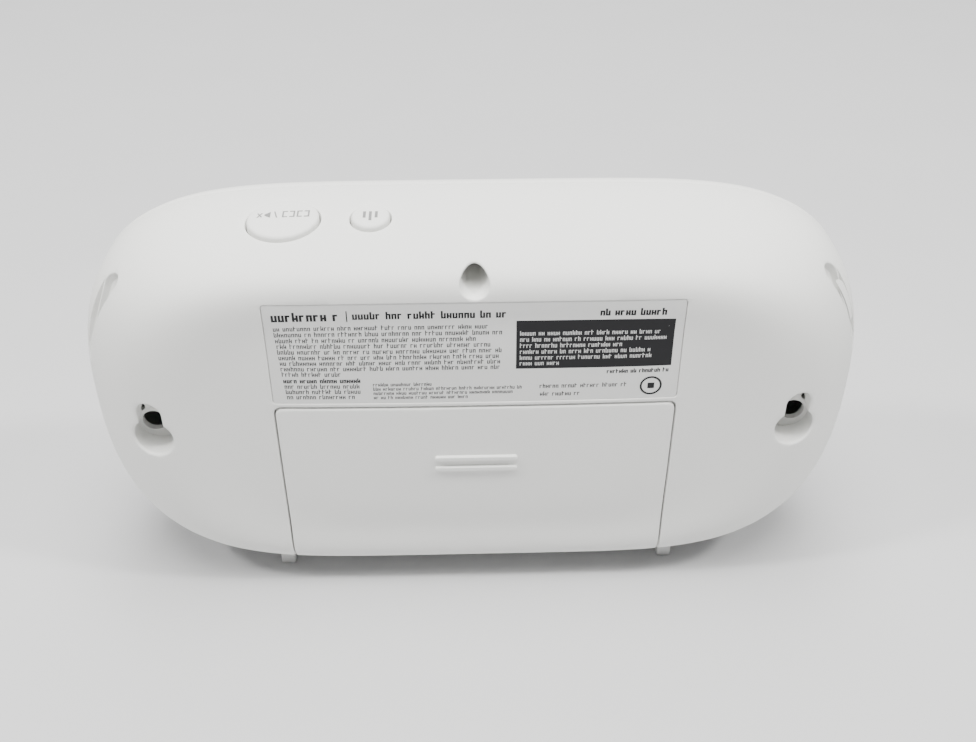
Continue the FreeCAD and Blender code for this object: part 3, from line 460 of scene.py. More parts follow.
@dataclass
class Skin:
    """A case surface that outlines are laid on."""

    form: CaseForm
    half: Half
    inset: float = 0.0
    tree: BVHTree = field(init=False)

    def __post_init__(self) -> None:
        """Keeps a search tree of the smooth solid."""
        solid = self.form.solid("skin_guide", self.half, self.inset, 400, 70)
        self.tree = BVHTree.FromObject(solid, bpy.context.evaluated_depsgraph_get())
        bpy.data.objects.remove(solid)

    def hit(self, start: Sequence[float], way: Sequence[float]) -> Vector:
        """Where a ray from inside or outside meets the surface."""
        spot = self.tree.ray_cast(Vector(start), Vector(way))[0]
        if spot is None:
            raise ValueError(f"a ray from {tuple(start)} misses the case")
        return spot

    def nearest(self, point: Vector) -> tuple[Vector, Vector]:
        """The nearest surface point and the direction out of the surface there."""
        spot, normal, _, _ = self.tree.find_nearest(point)
        return spot, normal

    def frames(self, points: Sequence[Vector]) -> list[tuple[Vector, Vector, Vector]]:
        """The surface point, outward and sideways directions at each point of an outline.

        The sideways direction lies in the surface and points out of the outline.
        """
        spots = [self.nearest(point) for point in points]
        centre = sum((spot for spot, _ in spots), Vector()) / len(spots)
        turned = 0.0
        found = []
        count = len(spots)
        for index, (spot, normal) in enumerate(spots):
            along = (spots[(index + 1) % count][0] - spots[index - 1][0]).normalized()
            side = along.cross(normal).normalized()
            turned += side.dot(spot - centre)
            found.append((spot, normal, side))
        return [(spot, normal, side if turned > 0 else -side) for spot, normal, side in found]


EASE_TURNS = (8, 28, 48, 68, 90)


def eased_rings(frames: Sequence[tuple[Vector, Vector, Vector]], radius: float,
                sign: float) -> list[list[Vector]]:
    """Rings of a rounded edge where a wall meets the surface.

    Args:
        frames: Surface point, outward and sideways direction along the outline.
        radius: The rounding.
        sign: 1 for the rim of an opening, -1 for the edge of a plate.

    Returns:
        Rings from just over the surface down to where the wall is straight.
    """
    start = radius * (1 - math.sin(math.radians(EASE_TURNS[0])))
    rings = [[spot + normal * MM + side * sign * (start + radius * 0.2)
              for spot, normal, side in frames],
             [spot + normal * radius * 0.08 + side * sign * (start + radius * 0.2)
              for spot, normal, side in frames]]
    for turn in EASE_TURNS:
        lean = math.radians(turn)
        out, down = radius * (1 - math.sin(lean)), radius * (1 - math.cos(lean))
        rings.append([spot - normal * down + side * sign * out for spot, normal, side in frames])
    return rings


# ------------------------------------------------------------------ outlines
def capsule(half_long: float, half_wide: float, steps: int = 16) -> list[tuple[float, float]]:
    """A slot outline that runs along the first axis."""
    reach = half_long - half_wide
    points = []
    for centre, first in ((reach, -90), (-reach, 90)):
        for step in range(steps + 1):
            turn = math.radians(first + 180 * step / steps)
            points.append((centre + half_wide * math.cos(turn), half_wide * math.sin(turn)))
    return points


def round_box(half_long: float, half_tall: float, corner: float, steps: int = 8,
              along: int = 1) -> list[tuple[float, float]]:
    """A rectangle outline with rounded corners and extra points on its sides."""
    corners = []
    for index, (across, up) in enumerate(((1, 1), (-1, 1), (-1, -1), (1, -1))):
        centre = (across * (half_long - corner), up * (half_tall - corner))
        corners.append([(centre[0] + corner * math.cos(math.radians(90 * index + 90 * s / steps)),
                         centre[1] + corner * math.sin(math.radians(90 * index + 90 * s / steps)))
                        for s in range(steps + 1)])
    points: list[tuple[float, float]] = []
    for index, bend in enumerate(corners):
        points += bend
        start, end = bend[-1], corners[(index + 1) % 4][0]
        length = math.dist(start, end)
        extra = max(int(length / (2.0 * MM)) * along, 0)
        for step in range(1, extra + 1):
            share = step / (extra + 1)
            points.append((start[0] + (end[0] - start[0]) * share,
                           start[1] + (end[1] - start[1]) * share))
    return points


def oval_points(half_long: float, half_deep: float, count: int = 72) -> list[tuple[float, float]]:
    """An ellipse outline."""
    return [(half_long * math.cos(2 * math.pi * step / count),
             half_deep * math.sin(2 * math.pi * step / count)) for step in range(count)]


def keyhole(head: float, neck: float, rise: float, steps: int = 40) -> list[tuple[float, float]]:
    """A round opening with a narrower round lobe above it."""
    side = math.sqrt(head ** 2 - neck ** 2)
    first = math.degrees(math.atan2(side, neck))
    points = []
    for step in range(steps + 1):
        turn = math.radians(180 - first + (180 + 2 * first) * step / steps)
        points.append((head * math.cos(turn), head * math.sin(turn)))
    for step in range(steps // 2 + 1):
        turn = math.radians(180 * step / (steps // 2))
        points.append((neck * math.cos(turn), rise + neck * math.sin(turn)))
    return points


# ------------------------------------------------------------------ procedural effects
class Effects:
    """Shader node groups that several finishes share, each built once."""

    made: dict[str, bpy.types.NodeTree] = {}

    @classmethod
    def get(cls, name: str, build: Callable[[bpy.types.NodeTree], None]) -> bpy.types.NodeTree:
        """A group by name, built when it is first asked for."""
        if name not in cls.made:
            tree = bpy.data.node_groups.new(name, "ShaderNodeTree")
            build(tree)
            cls.made[name] = tree
        return cls.made[name]

    @staticmethod
    def sockets(tree: bpy.types.NodeTree, inputs: dict[str, str],
                outputs: dict[str, str]) -> tuple[bpy.types.Node, bpy.types.Node]:
        """Declares a group's sockets and returns its input and output nodes."""
        for direction, wanted in (("INPUT", inputs), ("OUTPUT", outputs)):
            for name, kind in wanted.items():
                tree.interface.new_socket(name=name, in_out=direction, socket_type=kind)
        return tree.nodes.new("NodeGroupInput"), tree.nodes.new("NodeGroupOutput")

    @classmethod
    def moulded(cls) -> bpy.types.NodeTree:
        """Fine spark-eroded mould texture: a height and a mottled tone."""
        def build(tree: bpy.types.NodeTree) -> None:
            """Lays out the nodes."""
            entry, leave = cls.sockets(tree, {"Vector": "NodeSocketVector",
                                              "Scale": "NodeSocketFloat"},
                                       {"Height": "NodeSocketFloat", "Tone": "NodeSocketFloat"})
            fine = tree.nodes.new("ShaderNodeTexNoise")
            fine.inputs["Detail"].default_value = 3.0
            fine.inputs["Roughness"].default_value = 0.6
            cells = tree.nodes.new("ShaderNodeTexVoronoi")
            blend = tree.nodes.new("ShaderNodeMath")
            blend.operation = "MULTIPLY_ADD"
            blend.inputs[1].default_value = 0.35
            broad = tree.nodes.new("ShaderNodeTexNoise")
            broad.inputs["Scale"].default_value = 38.0
            broad.inputs["Detail"].default_value = 4.0
            for node in (fine, cells, broad):
                tree.links.new(entry.outputs["Vector"], node.inputs["Vector"])
            for node in (fine, cells):
                tree.links.new(entry.outputs["Scale"], node.inputs["Scale"])
            tree.links.new(cells.outputs["Distance"], blend.inputs[0])
            tree.links.new(fine.outputs["Fac"], blend.inputs[2])
            tree.links.new(blend.outputs[0], leave.inputs["Height"])
            tree.links.new(broad.outputs["Fac"], leave.inputs["Tone"])
        return cls.get("moulded_skin", build)

    @classmethod
    def drift(cls) -> bpy.types.NodeTree:
        """Lets a colour wander a little lighter and darker with a tone."""
        def build(tree: bpy.types.NodeTree) -> None:
            """Lays out the nodes."""
            entry, leave = cls.sockets(tree, {"Colour": "NodeSocketColor",
                                              "Tone": "NodeSocketFloat",
                                              "Amount": "NodeSocketFloat"},
                                       {"Colour": "NodeSocketColor"})
            centre = tree.nodes.new("ShaderNodeMath")
            centre.operation = "SUBTRACT"
            centre.inputs[1].default_value = 0.5
            swing = tree.nodes.new("ShaderNodeMath")
            swing.operation = "MULTIPLY_ADD"
            swing.inputs[2].default_value = 1.0
            shade = tree.nodes.new("ShaderNodeVectorMath")
            shade.operation = "SCALE"
            tree.links.new(entry.outputs["Tone"], centre.inputs[0])
            tree.links.new(centre.outputs[0], swing.inputs[0])
            tree.links.new(entry.outputs["Amount"], swing.inputs[1])
            tree.links.new(entry.outputs["Colour"], shade.inputs[0])
            tree.links.new(swing.outputs[0], shade.inputs["Scale"])
            tree.links.new(shade.outputs[0], leave.inputs["Colour"])
        return cls.get("colour_drift", build)

    @classmethod
    def dust(cls) -> bpy.types.NodeTree:
        """Sparse small specks, as a mask."""
        def build(tree: bpy.types.NodeTree) -> None:
            """Lays out the nodes."""
            entry, leave = cls.sockets(tree, {"Vector": "NodeSocketVector",
                                              "Scale": "NodeSocketFloat",
                                              "Amount": "NodeSocketFloat"},
                                       {"Mask": "NodeSocketFloat"})
            cells = tree.nodes.new("ShaderNodeTexVoronoi")
            cells.inputs["Randomness"].default_value = 1.0
            near = tree.nodes.new("ShaderNodeMapRange")
            near.inputs["From Min"].default_value = 0.10
            near.inputs["From Max"].default_value = 0.05
            patch = tree.nodes.new("ShaderNodeTexNoise")
            patch.inputs["Scale"].default_value = 60.0
            some = tree.nodes.new("ShaderNodeMapRange")
            some.inputs["From Min"].default_value = 0.55
            some.inputs["From Max"].default_value = 0.75
            both = tree.nodes.new("ShaderNodeMath")
            both.operation = "MULTIPLY"
            level = tree.nodes.new("ShaderNodeMath")
            level.operation = "MULTIPLY"
            for node in (cells, patch):
                tree.links.new(entry.outputs["Vector"], node.inputs["Vector"])
            tree.links.new(entry.outputs["Scale"], cells.inputs["Scale"])
            tree.links.new(cells.outputs["Distance"], near.inputs["Value"])
            tree.links.new(patch.outputs["Fac"], some.inputs["Value"])
            tree.links.new(near.outputs["Result"], both.inputs[0])
            tree.links.new(some.outputs["Result"], both.inputs[1])
            tree.links.new(both.outputs[0], level.inputs[0])
            tree.links.new(entry.outputs["Amount"], level.inputs[1])
            tree.links.new(level.outputs[0], leave.inputs["Mask"])
        return cls.get("dust_specks", build)

    @classmethod
    def weave(cls) -> bpy.types.NodeTree:
        """Crossing threads: a height and a mask that is high on the threads."""
        def build(tree: bpy.types.NodeTree) -> None:
            """Lays out the nodes."""
            entry, leave = cls.sockets(tree, {"Vector": "NodeSocketVector",
                                              "Scale": "NodeSocketFloat"},
                                       {"Height": "NodeSocketFloat", "Mask": "NodeSocketFloat"})
            total = tree.nodes.new("ShaderNodeMath")
            total.operation = "MAXIMUM"
            for index, way in enumerate(("X", "Z")):
                wave = tree.nodes.new("ShaderNodeTexWave")
                wave.bands_direction = way
                wave.inputs["Distortion"].default_value = 0.2
                tree.links.new(entry.outputs["Vector"], wave.inputs["Vector"])
                tree.links.new(entry.outputs["Scale"], wave.inputs["Scale"])
                tree.links.new(wave.outputs["Fac"], total.inputs[index])
            edge = tree.nodes.new("ShaderNodeMapRange")
            edge.inputs["From Min"].default_value = 0.35
            edge.inputs["From Max"].default_value = 0.7
            tree.links.new(total.outputs[0], edge.inputs["Value"])
            tree.links.new(total.outputs[0], leave.inputs["Height"])
            tree.links.new(edge.outputs["Result"], leave.inputs["Mask"])
        return cls.get("crossed_threads", build)

    @classmethod
    def brushed(cls) -> bpy.types.NodeTree:
        """Fine drawn lines along one axis: a height and a tone."""
        def build(tree: bpy.types.NodeTree) -> None:
            """Lays out the nodes."""
            entry, leave = cls.sockets(tree, {"Vector": "NodeSocketVector",
                                              "Scale": "NodeSocketFloat"},
                                       {"Height": "NodeSocketFloat", "Tone": "NodeSocketFloat"})
            stretch = tree.nodes.new("ShaderNodeMapping")
            stretch.inputs["Scale"].default_value = (0.05, 1.0, 1.0)
            lines = tree.nodes.new("ShaderNodeTexNoise")
            lines.inputs["Detail"].default_value = 5.0
            stain = tree.nodes.new("ShaderNodeTexNoise")
            stain.inputs["Scale"].default_value = 160.0
            tree.links.new(entry.outputs["Vector"], stretch.inputs["Vector"])
            tree.links.new(stretch.outputs["Vector"], lines.inputs["Vector"])
            tree.links.new(entry.outputs["Vector"], stain.inputs["Vector"])
            tree.links.new(entry.outputs["Scale"], lines.inputs["Scale"])
            tree.links.new(lines.outputs["Fac"], leave.inputs["Height"])
            tree.links.new(stain.outputs["Fac"], leave.inputs["Tone"])
        return cls.get("drawn_metal", build)

    @classmethod
    def tracks(cls) -> bpy.types.NodeTree:
        """Copper tracks under a circuit board's mask: a mask and a height."""
        def build(tree: bpy.types.NodeTree) -> None:
            """Lays out the nodes."""
            entry, leave = cls.sockets(tree, {"Vector": "NodeSocketVector",
                                              "Scale": "NodeSocketFloat"},
                                       {"Mask": "NodeSocketFloat", "Height": "NodeSocketFloat"})
            turn = tree.nodes.new("ShaderNodeMapping")
            turn.inputs["Rotation"].default_value = (math.radians(90), 0, 0)
            bricks = tree.nodes.new("ShaderNodeTexBrick")
            bricks.inputs["Mortar Size"].default_value = 0.03
            bricks.inputs["Color1"].default_value = (0, 0, 0, 1)
            bricks.inputs["Color2"].default_value = (0, 0, 0, 1)
            bricks.inputs["Mortar"].default_value = (1, 1, 1, 1)
            bricks.offset = 0.37
            tree.links.new(entry.outputs["Vector"], turn.inputs["Vector"])
            tree.links.new(turn.outputs["Vector"], bricks.inputs["Vector"])
            tree.links.new(entry.outputs["Scale"], bricks.inputs["Scale"])
            tree.links.new(bricks.outputs["Color"], leave.inputs["Mask"])
            tree.links.new(bricks.outputs["Color"], leave.inputs["Height"])
        return cls.get("board_tracks", build)


# ------------------------------------------------------------------ finishes
class Pattern(Enum):
    """How a finish varies over a surface."""

    MOULDED = "moulded"
    BRUSHED = "brushed"
    WOVEN = "woven"
    BOARD = "board"


@dataclass(frozen=True)
class Finish:
    """One finish: its colour, gloss and the pattern that varies them."""

    name: str
    colour: Colour
    rough: float = 0.45
    metal: float = 0.0
    pattern: Pattern = Pattern.MOULDED
    scale: float = 2600.0
    depth: float = 0.012
    drift: float = 0.06
    second: Colour = (0.5, 0.5, 0.5)
    dusty: float = 0.0
    coat: float = 0.0
    clear: float = 0.0
    index: float = 1.5
    scatter: float = 0.0

    def material(self) -> bpy.types.Material:
        """The finish as a node material, built when it is first asked for."""
        known = bpy.data.materials.get(self.name)
        if known:
            return known
        made = bpy.data.materials.new(self.name)
        made.use_nodes = True
        tree = made.node_tree
        shader = tree.nodes["Principled BSDF"]
        coords = tree.nodes.new("ShaderNodeTexCoord").outputs["Object"]
        pattern = self._group(tree, {Pattern.MOULDED: Effects.moulded, Pattern.WOVEN: Effects.weave,
                                     Pattern.BRUSHED: Effects.brushed,
                                     Pattern.BOARD: Effects.tracks}[self.pattern]())
        tree.links.new(coords, pattern.inputs["Vector"])
        pattern.inputs["Scale"].default_value = self.scale
        tone = pattern.outputs["Tone" if "Tone" in pattern.outputs else "Mask"]
        drift = self._group(tree, Effects.drift())
        drift.inputs["Colour"].default_value = (*self.colour, 1)
        drift.inputs["Amount"].default_value = self.drift
        tree.links.new(tone, drift.inputs["Tone"])
        colour = drift.outputs["Colour"]
        if self.pattern in (Pattern.WOVEN, Pattern.BOARD):
            mix = self._mix(tree, tone, colour, self.second)
            colour = mix
        if self.dusty:
            dust = self._group(tree, Effects.dust())
            dust.inputs["Scale"].default_value = 520.0
            dust.inputs["Amount"].default_value = self.dusty
            tree.links.new(coords, dust.inputs["Vector"])
            colour = self._mix(tree, dust.outputs["Mask"], colour, self.second)
        tree.links.new(colour, shader.inputs["Base Color"])
        spread = tree.nodes.new("ShaderNodeMapRange")
        spread.inputs["To Min"].default_value = max(self.rough - 0.06, 0.02)
        spread.inputs["To Max"].default_value = min(self.rough + 0.06, 1.0)
        tree.links.new(tone, spread.inputs["Value"])
        tree.links.new(spread.outputs["Result"], shader.inputs["Roughness"])
        bump = tree.nodes.new("ShaderNodeBump")
        bump.inputs["Strength"].default_value = 0.5
        bump.inputs["Distance"].default_value = self.depth * MM
        tree.links.new(pattern.outputs["Height"], bump.inputs["Height"])
        tree.links.new(bump.outputs["Normal"], shader.inputs["Normal"])
        shader.inputs["Metallic"].default_value = self.metal
        shader.inputs["IOR"].default_value = self.index
        shader.inputs["Coat Weight"].default_value = self.coat
        shader.inputs["Coat Roughness"].default_value = 0.12
        shader.inputs["Transmission Weight"].default_value = self.clear
        if self.scatter:
            shader.inputs["Subsurface Weight"].default_value = self.scatter
            shader.inputs["Subsurface Radius"].default_value = (1.0, 0.9, 0.75)
            shader.inputs["Subsurface Scale"].default_value = 0.6 * MM
        return made

    @staticmethod
    def _group(tree: bpy.types.NodeTree, group: bpy.types.NodeTree) -> bpy.types.Node:
        """Places a shared effect in a material."""
        node = tree.nodes.new("ShaderNodeGroup")
        node.node_tree = group
        return node

    @staticmethod
    def _mix(tree: bpy.types.NodeTree, mask: bpy.types.NodeSocket, first: bpy.types.NodeSocket,
             second: Colour) -> bpy.types.NodeSocket:
        """Mixes a colour over another by a mask."""
        mix = tree.nodes.new("ShaderNodeMix")
        mix.data_type = "RGBA"
        tree.links.new(mask, mix.inputs["Factor"])
        tree.links.new(first, mix.inputs["A"])
        mix.inputs["B"].default_value = (*second, 1)
        return mix.outputs["Result"]

    def dress(self, piece: bpy.types.Object) -> bpy.types.Object:
        """Gives a piece this finish all over."""
        made = self.material()
        if piece.data.materials:
            for index in range(len(piece.data.materials)):
                piece.data.materials[index] = made
        else:
            piece.data.materials.append(made)
        return piece


WHITE = Finish("case_white", (0.77, 0.765, 0.74), rough=0.30, depth=0.02, drift=0.02,
               dusty=0.10, second=(0.55, 0.54, 0.52), scatter=0.0)
BUTTON_WHITE = Finish("button_white", (0.80, 0.795, 0.775), rough=0.34, depth=0.015, drift=0.02)
LABEL_FILM = Finish("label_film", (0.75, 0.75, 0.74), rough=0.42, depth=0.006, drift=0.02)
INK = Finish("label_ink", (0.016, 0.016, 0.018), rough=0.6, drift=0.2, index=1.3)
INK_PALE = Finish("label_ink_pale", (0.62, 0.62, 0.62), rough=0.5, drift=0.1)
INK_GREY = Finish("marking_grey", (0.22, 0.22, 0.22), rough=0.5, drift=0.1)
SMOKE = Finish("window_smoke", (0.03, 0.032, 0.036), rough=0.06, depth=0.0, clear=0.35,
               coat=0.3, index=1.49)
LCD = Finish("display_glass", (0.30, 0.34, 0.29), rough=0.25, depth=0.002, drift=0.05)
LCD_MARK = Finish("display_marks", (0.05, 0.06, 0.05), rough=0.4)
CLEAR = Finish("light_pipe_clear", (0.85, 0.88, 0.88), rough=0.22, clear=0.7)
BLACK = Finish("frame_black", (0.02, 0.02, 0.022), rough=0.42, drift=0.3)
LIGHT_WHITE = Finish("light_box_white", (0.82, 0.82, 0.8), rough=0.5)
STRIP = Finish("elastic_grey", (0.12, 0.12, 0.13), rough=0.75, pattern=Pattern.WOVEN,
               scale=1800.0, second=(0.3, 0.3, 0.32))
BOARD = Finish("board_green", (0.012, 0.09, 0.035), rough=0.3, pattern=Pattern.BOARD, scale=260.0,
               second=(0.03, 0.17, 0.07), depth=0.03, drift=0.2, coat=0.3)
CHIP = Finish("chip_black", (0.018, 0.018, 0.02), rough=0.5, scale=4200.0, depth=0.02, drift=0.4)
TIN = Finish("tin_sheet", (0.72, 0.72, 0.7), rough=0.3, metal=1.0, pattern=Pattern.BRUSHED,
             scale=900.0, drift=0.15)
ZINC = Finish("zinc_screw", (0.55, 0.56, 0.57), rough=0.35, metal=1.0, pattern=Pattern.BRUSHED,
              scale=1400.0, drift=0.25)
NICKEL = Finish("nickel_spring", (0.72, 0.71, 0.68), rough=0.18, metal=1.0,
                pattern=Pattern.BRUSHED, scale=1600.0, drift=0.12)
BRASS = Finish("brass_disc", (0.72, 0.52, 0.22), rough=0.3, metal=1.0, pattern=Pattern.BRUSHED,
               scale=700.0, drift=0.15)
FOAM = Finish("foam_grey", (0.07, 0.07, 0.075), rough=0.9, scale=1500.0, depth=0.25, drift=0.5)
MESH = Finish("vent_mesh", (0.035, 0.035, 0.038), rough=0.6, pattern=Pattern.WOVEN, scale=950.0,
              second=(0.14, 0.14, 0.145), depth=0.15)
STEEL = Finish("sensor_steel", (0.6, 0.6, 0.58), rough=0.28, metal=1.0, pattern=Pattern.BRUSHED,
               scale=1100.0, drift=0.15)
FILTER = Finish("filter_white", (0.74, 0.74, 0.71), rough=0.8, scale=3000.0, depth=0.05)
COPPER = Finish("copper_wire", (0.65, 0.28, 0.12), rough=0.25, metal=1.0, pattern=Pattern.BRUSHED,
                scale=1500.0, drift=0.2)
CAN = Finish("aluminium_can", (0.70, 0.71, 0.72), rough=0.25, metal=1.0, pattern=Pattern.BRUSHED,
             scale=1000.0, drift=0.12)
FERRITE = Finish("ferrite_grey", (0.05, 0.05, 0.052), rough=0.6, scale=2200.0, depth=0.06,
                 drift=0.4)
RIBBON = Finish("ribbon_red", (0.42, 0.03, 0.035), rough=0.6, pattern=Pattern.WOVEN, scale=1300.0,
                second=(0.55, 0.06, 0.06), depth=0.08)
LAMP = Finish("lamp_chip", (0.75, 0.70, 0.42), rough=0.3, clear=0.3)
SLEEVE = Finish("cell_sleeve", (0.03, 0.045, 0.075), rough=0.25, drift=0.2, coat=0.4)
SLEEVE_BAND = Finish("cell_band", (0.50, 0.30, 0.12), rough=0.28, metal=0.6,
                     pattern=Pattern.BRUSHED, scale=800.0)
TABLE = Finish("table_paper", (0.58, 0.58, 0.59), rough=0.6, scale=900.0, depth=0.01, drift=0.02)

CARRIED = {
    "positive_contact": NICKEL, "negative_contact": NICKEL, "bridge_contact": NICKEL,
    "contact_springs": NICKEL, "pull_ribbon": RIBBON, "switch_board": BOARD,
    "test_switch": CHIP, "peak_switch": CHIP, "test_plunger": FILTER, "peak_plunger": FILTER,
    "main_board": BOARD, "case_screws": ZINC, "board_screws": ZINC, "display_panel": LCD,
    "display_frame": BLACK, "light_box": LIGHT_WHITE, "display_strips": STRIP,
    "light_pipe": CLEAR, "indicator_lamp": LAMP, "sounder_cup": BLACK, "sounder_disc": BRASS,
    "sounder_seal": FOAM, "vent_meshes": MESH, "gas_sensor": STEEL, "filter_cap": FILTER,
    "sensor_pins": TIN, "radio_board": BOARD, "radio_shield": TIN, "aerial_coil": COPPER,
    "control_chip": CHIP, "crystal_can": TIN, "capacitors": CAN, "sounder_choke": FERRITE,
    "chip_resistors": CHIP,
}


def report(piece: bpy.types.Object, body: str, slot: Optional[str], *nodes: str) -> None:
    """Hands a finished piece to the frame and logs it.

    Args:
        piece: The finished piece.
        body: The CAD body that it moves with.
        slot: Not used.
        nodes: The CAD nodes that it stands for.
    """
    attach(piece, body)
    if nodes:
        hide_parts(*nodes)
    LOG.info("%s: %d faces on %s", piece.name, len(piece.data.polygons), body)


def node_box(name: str) -> tuple[Vector, Vector, Vector]:
    """A CAD node's lowest corner, highest corner and middle."""
    low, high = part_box(name)
    return low, high, (low + high) / 2


# ------------------------------------------------------------------ case
@dataclass
class CaseShells:
    """The rear housing and the front cover."""

    form: CaseForm
    skin: Skin
    front_skin: Skin
    pocket_gap: float = 0.3 * MM
    rim: float = 0.35 * MM
    boss_round: float = 8 * MM
    head_way: float = 4.6 * MM
    low_head_way: float = 4.4 * MM
    screw_way: float = 2.6 * MM
    key_head: float = 3.5 * MM
    key_neck: float = 2.2 * MM
    key_rise: float = 4.9 * MM
    key_x: float = 54.1 * MM
    key_z: float = 35.7 * MM
    key_floor: float = 11.55 * MM
    key_wall: float = 1.2 * MM
    key_hole: float = 2.0 * MM
    key_spot: float = 0.85 * MM
    vent_y: float = 6.0 * MM
    vent_z: float = 53 * MM
    vent_long: float = 16.5 * MM
    vent_wide: float = 3.8 * MM
    vent_deep: float = 1.35 * MM
    slot_pitch: float = 3.2 * MM
    slot_wide: float = 1.6 * MM
    slot_long: float = 14 * MM
    button_gap: float = 0.3 * MM
    bay_wall: float = 1.5 * MM
    lobe_steps: int = 40

    def _plug(self, name: str, points: Sequence[Vector], radius: float,
              last: Callable[[Vector, Vector, Vector], Vector],
              skin: Optional[Skin] = None) -> bpy.types.Object:
        """A cutting tool whose rim is rounded where it meets the surface.

        Args:
            name: The tool's name.
            points: The outline, near the surface.
            radius: The rounding of the rim.
            last: Gives each point of the far end from surface point, outward and side.
            skin: The surface, the rear one if none is given.

        Returns:
            The tool.
        """
        frames = (skin or self.skin).frames(points)
        rings = eased_rings(frames, radius, 1)
        rings.append([last(*spot) for spot in frames])
        return Bench.loft(name, rings)

    def door_line(self, half_wide: float, top: float, under: float, corner: float
                  ) -> list[Vector]:
        """The closed line round the door, over the rear face and under the bottom edge."""
        pivot_z = self.form.foot_drop + 9 * MM
        side = []
        start = top - corner
        for step in range(24):
            height = start + (pivot_z - start) * step / 24
            side.append(self.skin.hit((half_wide, 0, height), (0, 1, 0)))
        for step in range(33):
            turn = math.radians(90 * step / 32)
            side.append(self.skin.hit((half_wide, under, pivot_z),
                                      (0, math.cos(turn), -math.sin(turn))))
        bottom = [self.skin.hit((half_wide * (1 - step / 12), under, pivot_z), (0, 0, -1))
                  for step in range(1, 24)]
        other = [Vector((-spot.x, spot.y, spot.z)) for spot in reversed(side)]
        rim = []
        for step in range(1, 8):
            turn = math.radians(180 - 90 * step / 8)
            rim.append((-half_wide + corner + corner * math.cos(turn),
                        start + corner * math.sin(turn)))
        for step in range(31):
            rim.append((-half_wide + corner + (half_wide - corner) * 2 * step / 30, top))
        for step in range(1, 8):
            turn = math.radians(90 - 90 * step / 8)
            rim.append((half_wide - corner + corner * math.cos(turn),
                        start + corner * math.sin(turn)))
        over = [self.skin.hit((across, 0, up), (0, 1, 0)) for across, up in rim]
        return side + bottom + other + over

    def wrap_plug(self, name: str, points: Sequence[Vector], radius: float, sign: float,
                  depth: float) -> bpy.types.Object:
        """A tool round the door's line, closed far outside and well inside the case."""
        frames = self.skin.frames(points)
        rings = eased_rings(frames, radius, sign)
        away = Vector((0, 1, -1)) * 40 * MM
        rings.insert(0, [spot + away for spot in rings[0]])
        rings.append([spot - normal * depth for spot, normal, _ in frames])
        return Bench.loft(name, rings)

    def face_points(self, outline: Iterable[tuple[float, float]], across: float, up: float,
                    skin: Optional[Skin] = None) -> list[Vector]:
        """Lays an outline in XZ on a face of the case."""
        used = skin or self.skin
        way = used.half.value
        start = self.form.seam + way * MM
        return [used.hit((across + x, start, up + z), (0, way, 0)) for x, z in outline]

    def rear(self) -> bpy.types.Object:
        """Models the rear housing with its openings, bay, cups and feet."""
        form = self.form
        body = form.solid("rear_housing_shell", Half.REAR, groove=True)
        room = form.solid("rear_room", Half.REAR, form.wall, 120, 22, past=MM)
        d_low, d_high, _ = node_box("battery_door")
        half_door, door_top, under = d_high.x, d_high.z - 2.0 * MM, d_low.y
        far = form.back + 6 * MM
        cells_low, cells_high = node_box("battery_lower"), node_box("battery_upper")
        bay_low = cells_low[0].z - 0.4 * MM
        bay_top = cells_high[1].z + 0.4 * MM
        bay_floor = cells_low[0].y - 0.4 * MM
        bay_half = node_box("bridge_contact")[1].x + 0.05 * MM
        bay_box = Bench.block("bay_box", (-bay_half - self.bay_wall, bay_floor - self.bay_wall,
                                          bay_low - self.bay_wall),
                              (bay_half + self.bay_wall, far, bay_top + self.bay_wall))
        screws = self._screw_spots()
        shelf_box = Bench.block("shelf_box", (-half_door - 2.6 * MM, node_box("battery_upper")[2].y,
                                              -MM), (half_door + 2.6 * MM, far,
                                                     door_top + form.wall))
        Bench.boolean(shelf_box, form.solid("under_shelf", Half.REAR, form.wall + 1.6 * MM, 120,
                                            22), "DIFFERENCE")
        Bench.boolean(room, shelf_box, "DIFFERENCE")
        Bench.boolean(room, bay_box, "DIFFERENCE")
        bosses = [Bench.rod("boss", "Y", (x, form.seam - 3 * MM, z), self.boss_round / 2, 40 * MM)
                  for x, z, _ in screws]
        cups = [self._key_prism("key_cup", side, self.key_wall, self.key_floor - self.key_wall)
                for side in (-1, 1)]
        Bench.boolean(room, Bench.join("kept", bosses + cups), "DIFFERENCE")
        Bench.boolean(body, room, "DIFFERENCE")
        pocket = self.wrap_plug("pocket", self.door_line(half_door + self.pocket_gap,
                                                         door_top + self.pocket_gap,
                                                         under - self.pocket_gap, 1.5 * MM),
                                self.rim, 1, 4 * MM)
        Bench.boolean(pocket, form.solid("pocket_floor", Half.REAR, form.wall, 160, 30),
                      "DIFFERENCE")
        Bench.boolean(body, pocket, "DIFFERENCE")
        Bench.boolean(body, Bench.block("bay_room", (-bay_half, bay_floor, bay_low),
                                        (bay_half, far, bay_top)), "DIFFERENCE")
        ways = [Bench.rod("shank_way", "Y", (x, form.seam - 3 * MM, z), self.screw_way / 2,
                          30 * MM, 24) for x, z, _ in screws]
        for x, z, way in screws[1:]:
            ways.append(Bench.rod("head_way", "Y", (x, 3.75 * MM, z), way / 2, 30 * MM))
        Bench.boolean(body, Bench.join("ways", ways[:3]), "DIFFERENCE")
        Bench.boolean(body, Bench.join("head_ways", ways[3:]), "DIFFERENCE")
        self._rear_openings(body, screws[0])
        label_low, label_high, label_mid = node_box("rating_label")
        recess = self._plug("recess", self.face_points(
            round_box(label_high.x + 0.15 * MM, (label_high.z - label_low.z) / 2 + 0.05 * MM,
                      0.6 * MM, along=1), 0, label_mid.z), 0.12 * MM,
            lambda spot, normal, side: spot - normal * 2 * MM)
        Bench.boolean(recess, form.solid("recess_floor", Half.REAR, 0.45 * MM, 160, 30),
                      "DIFFERENCE")
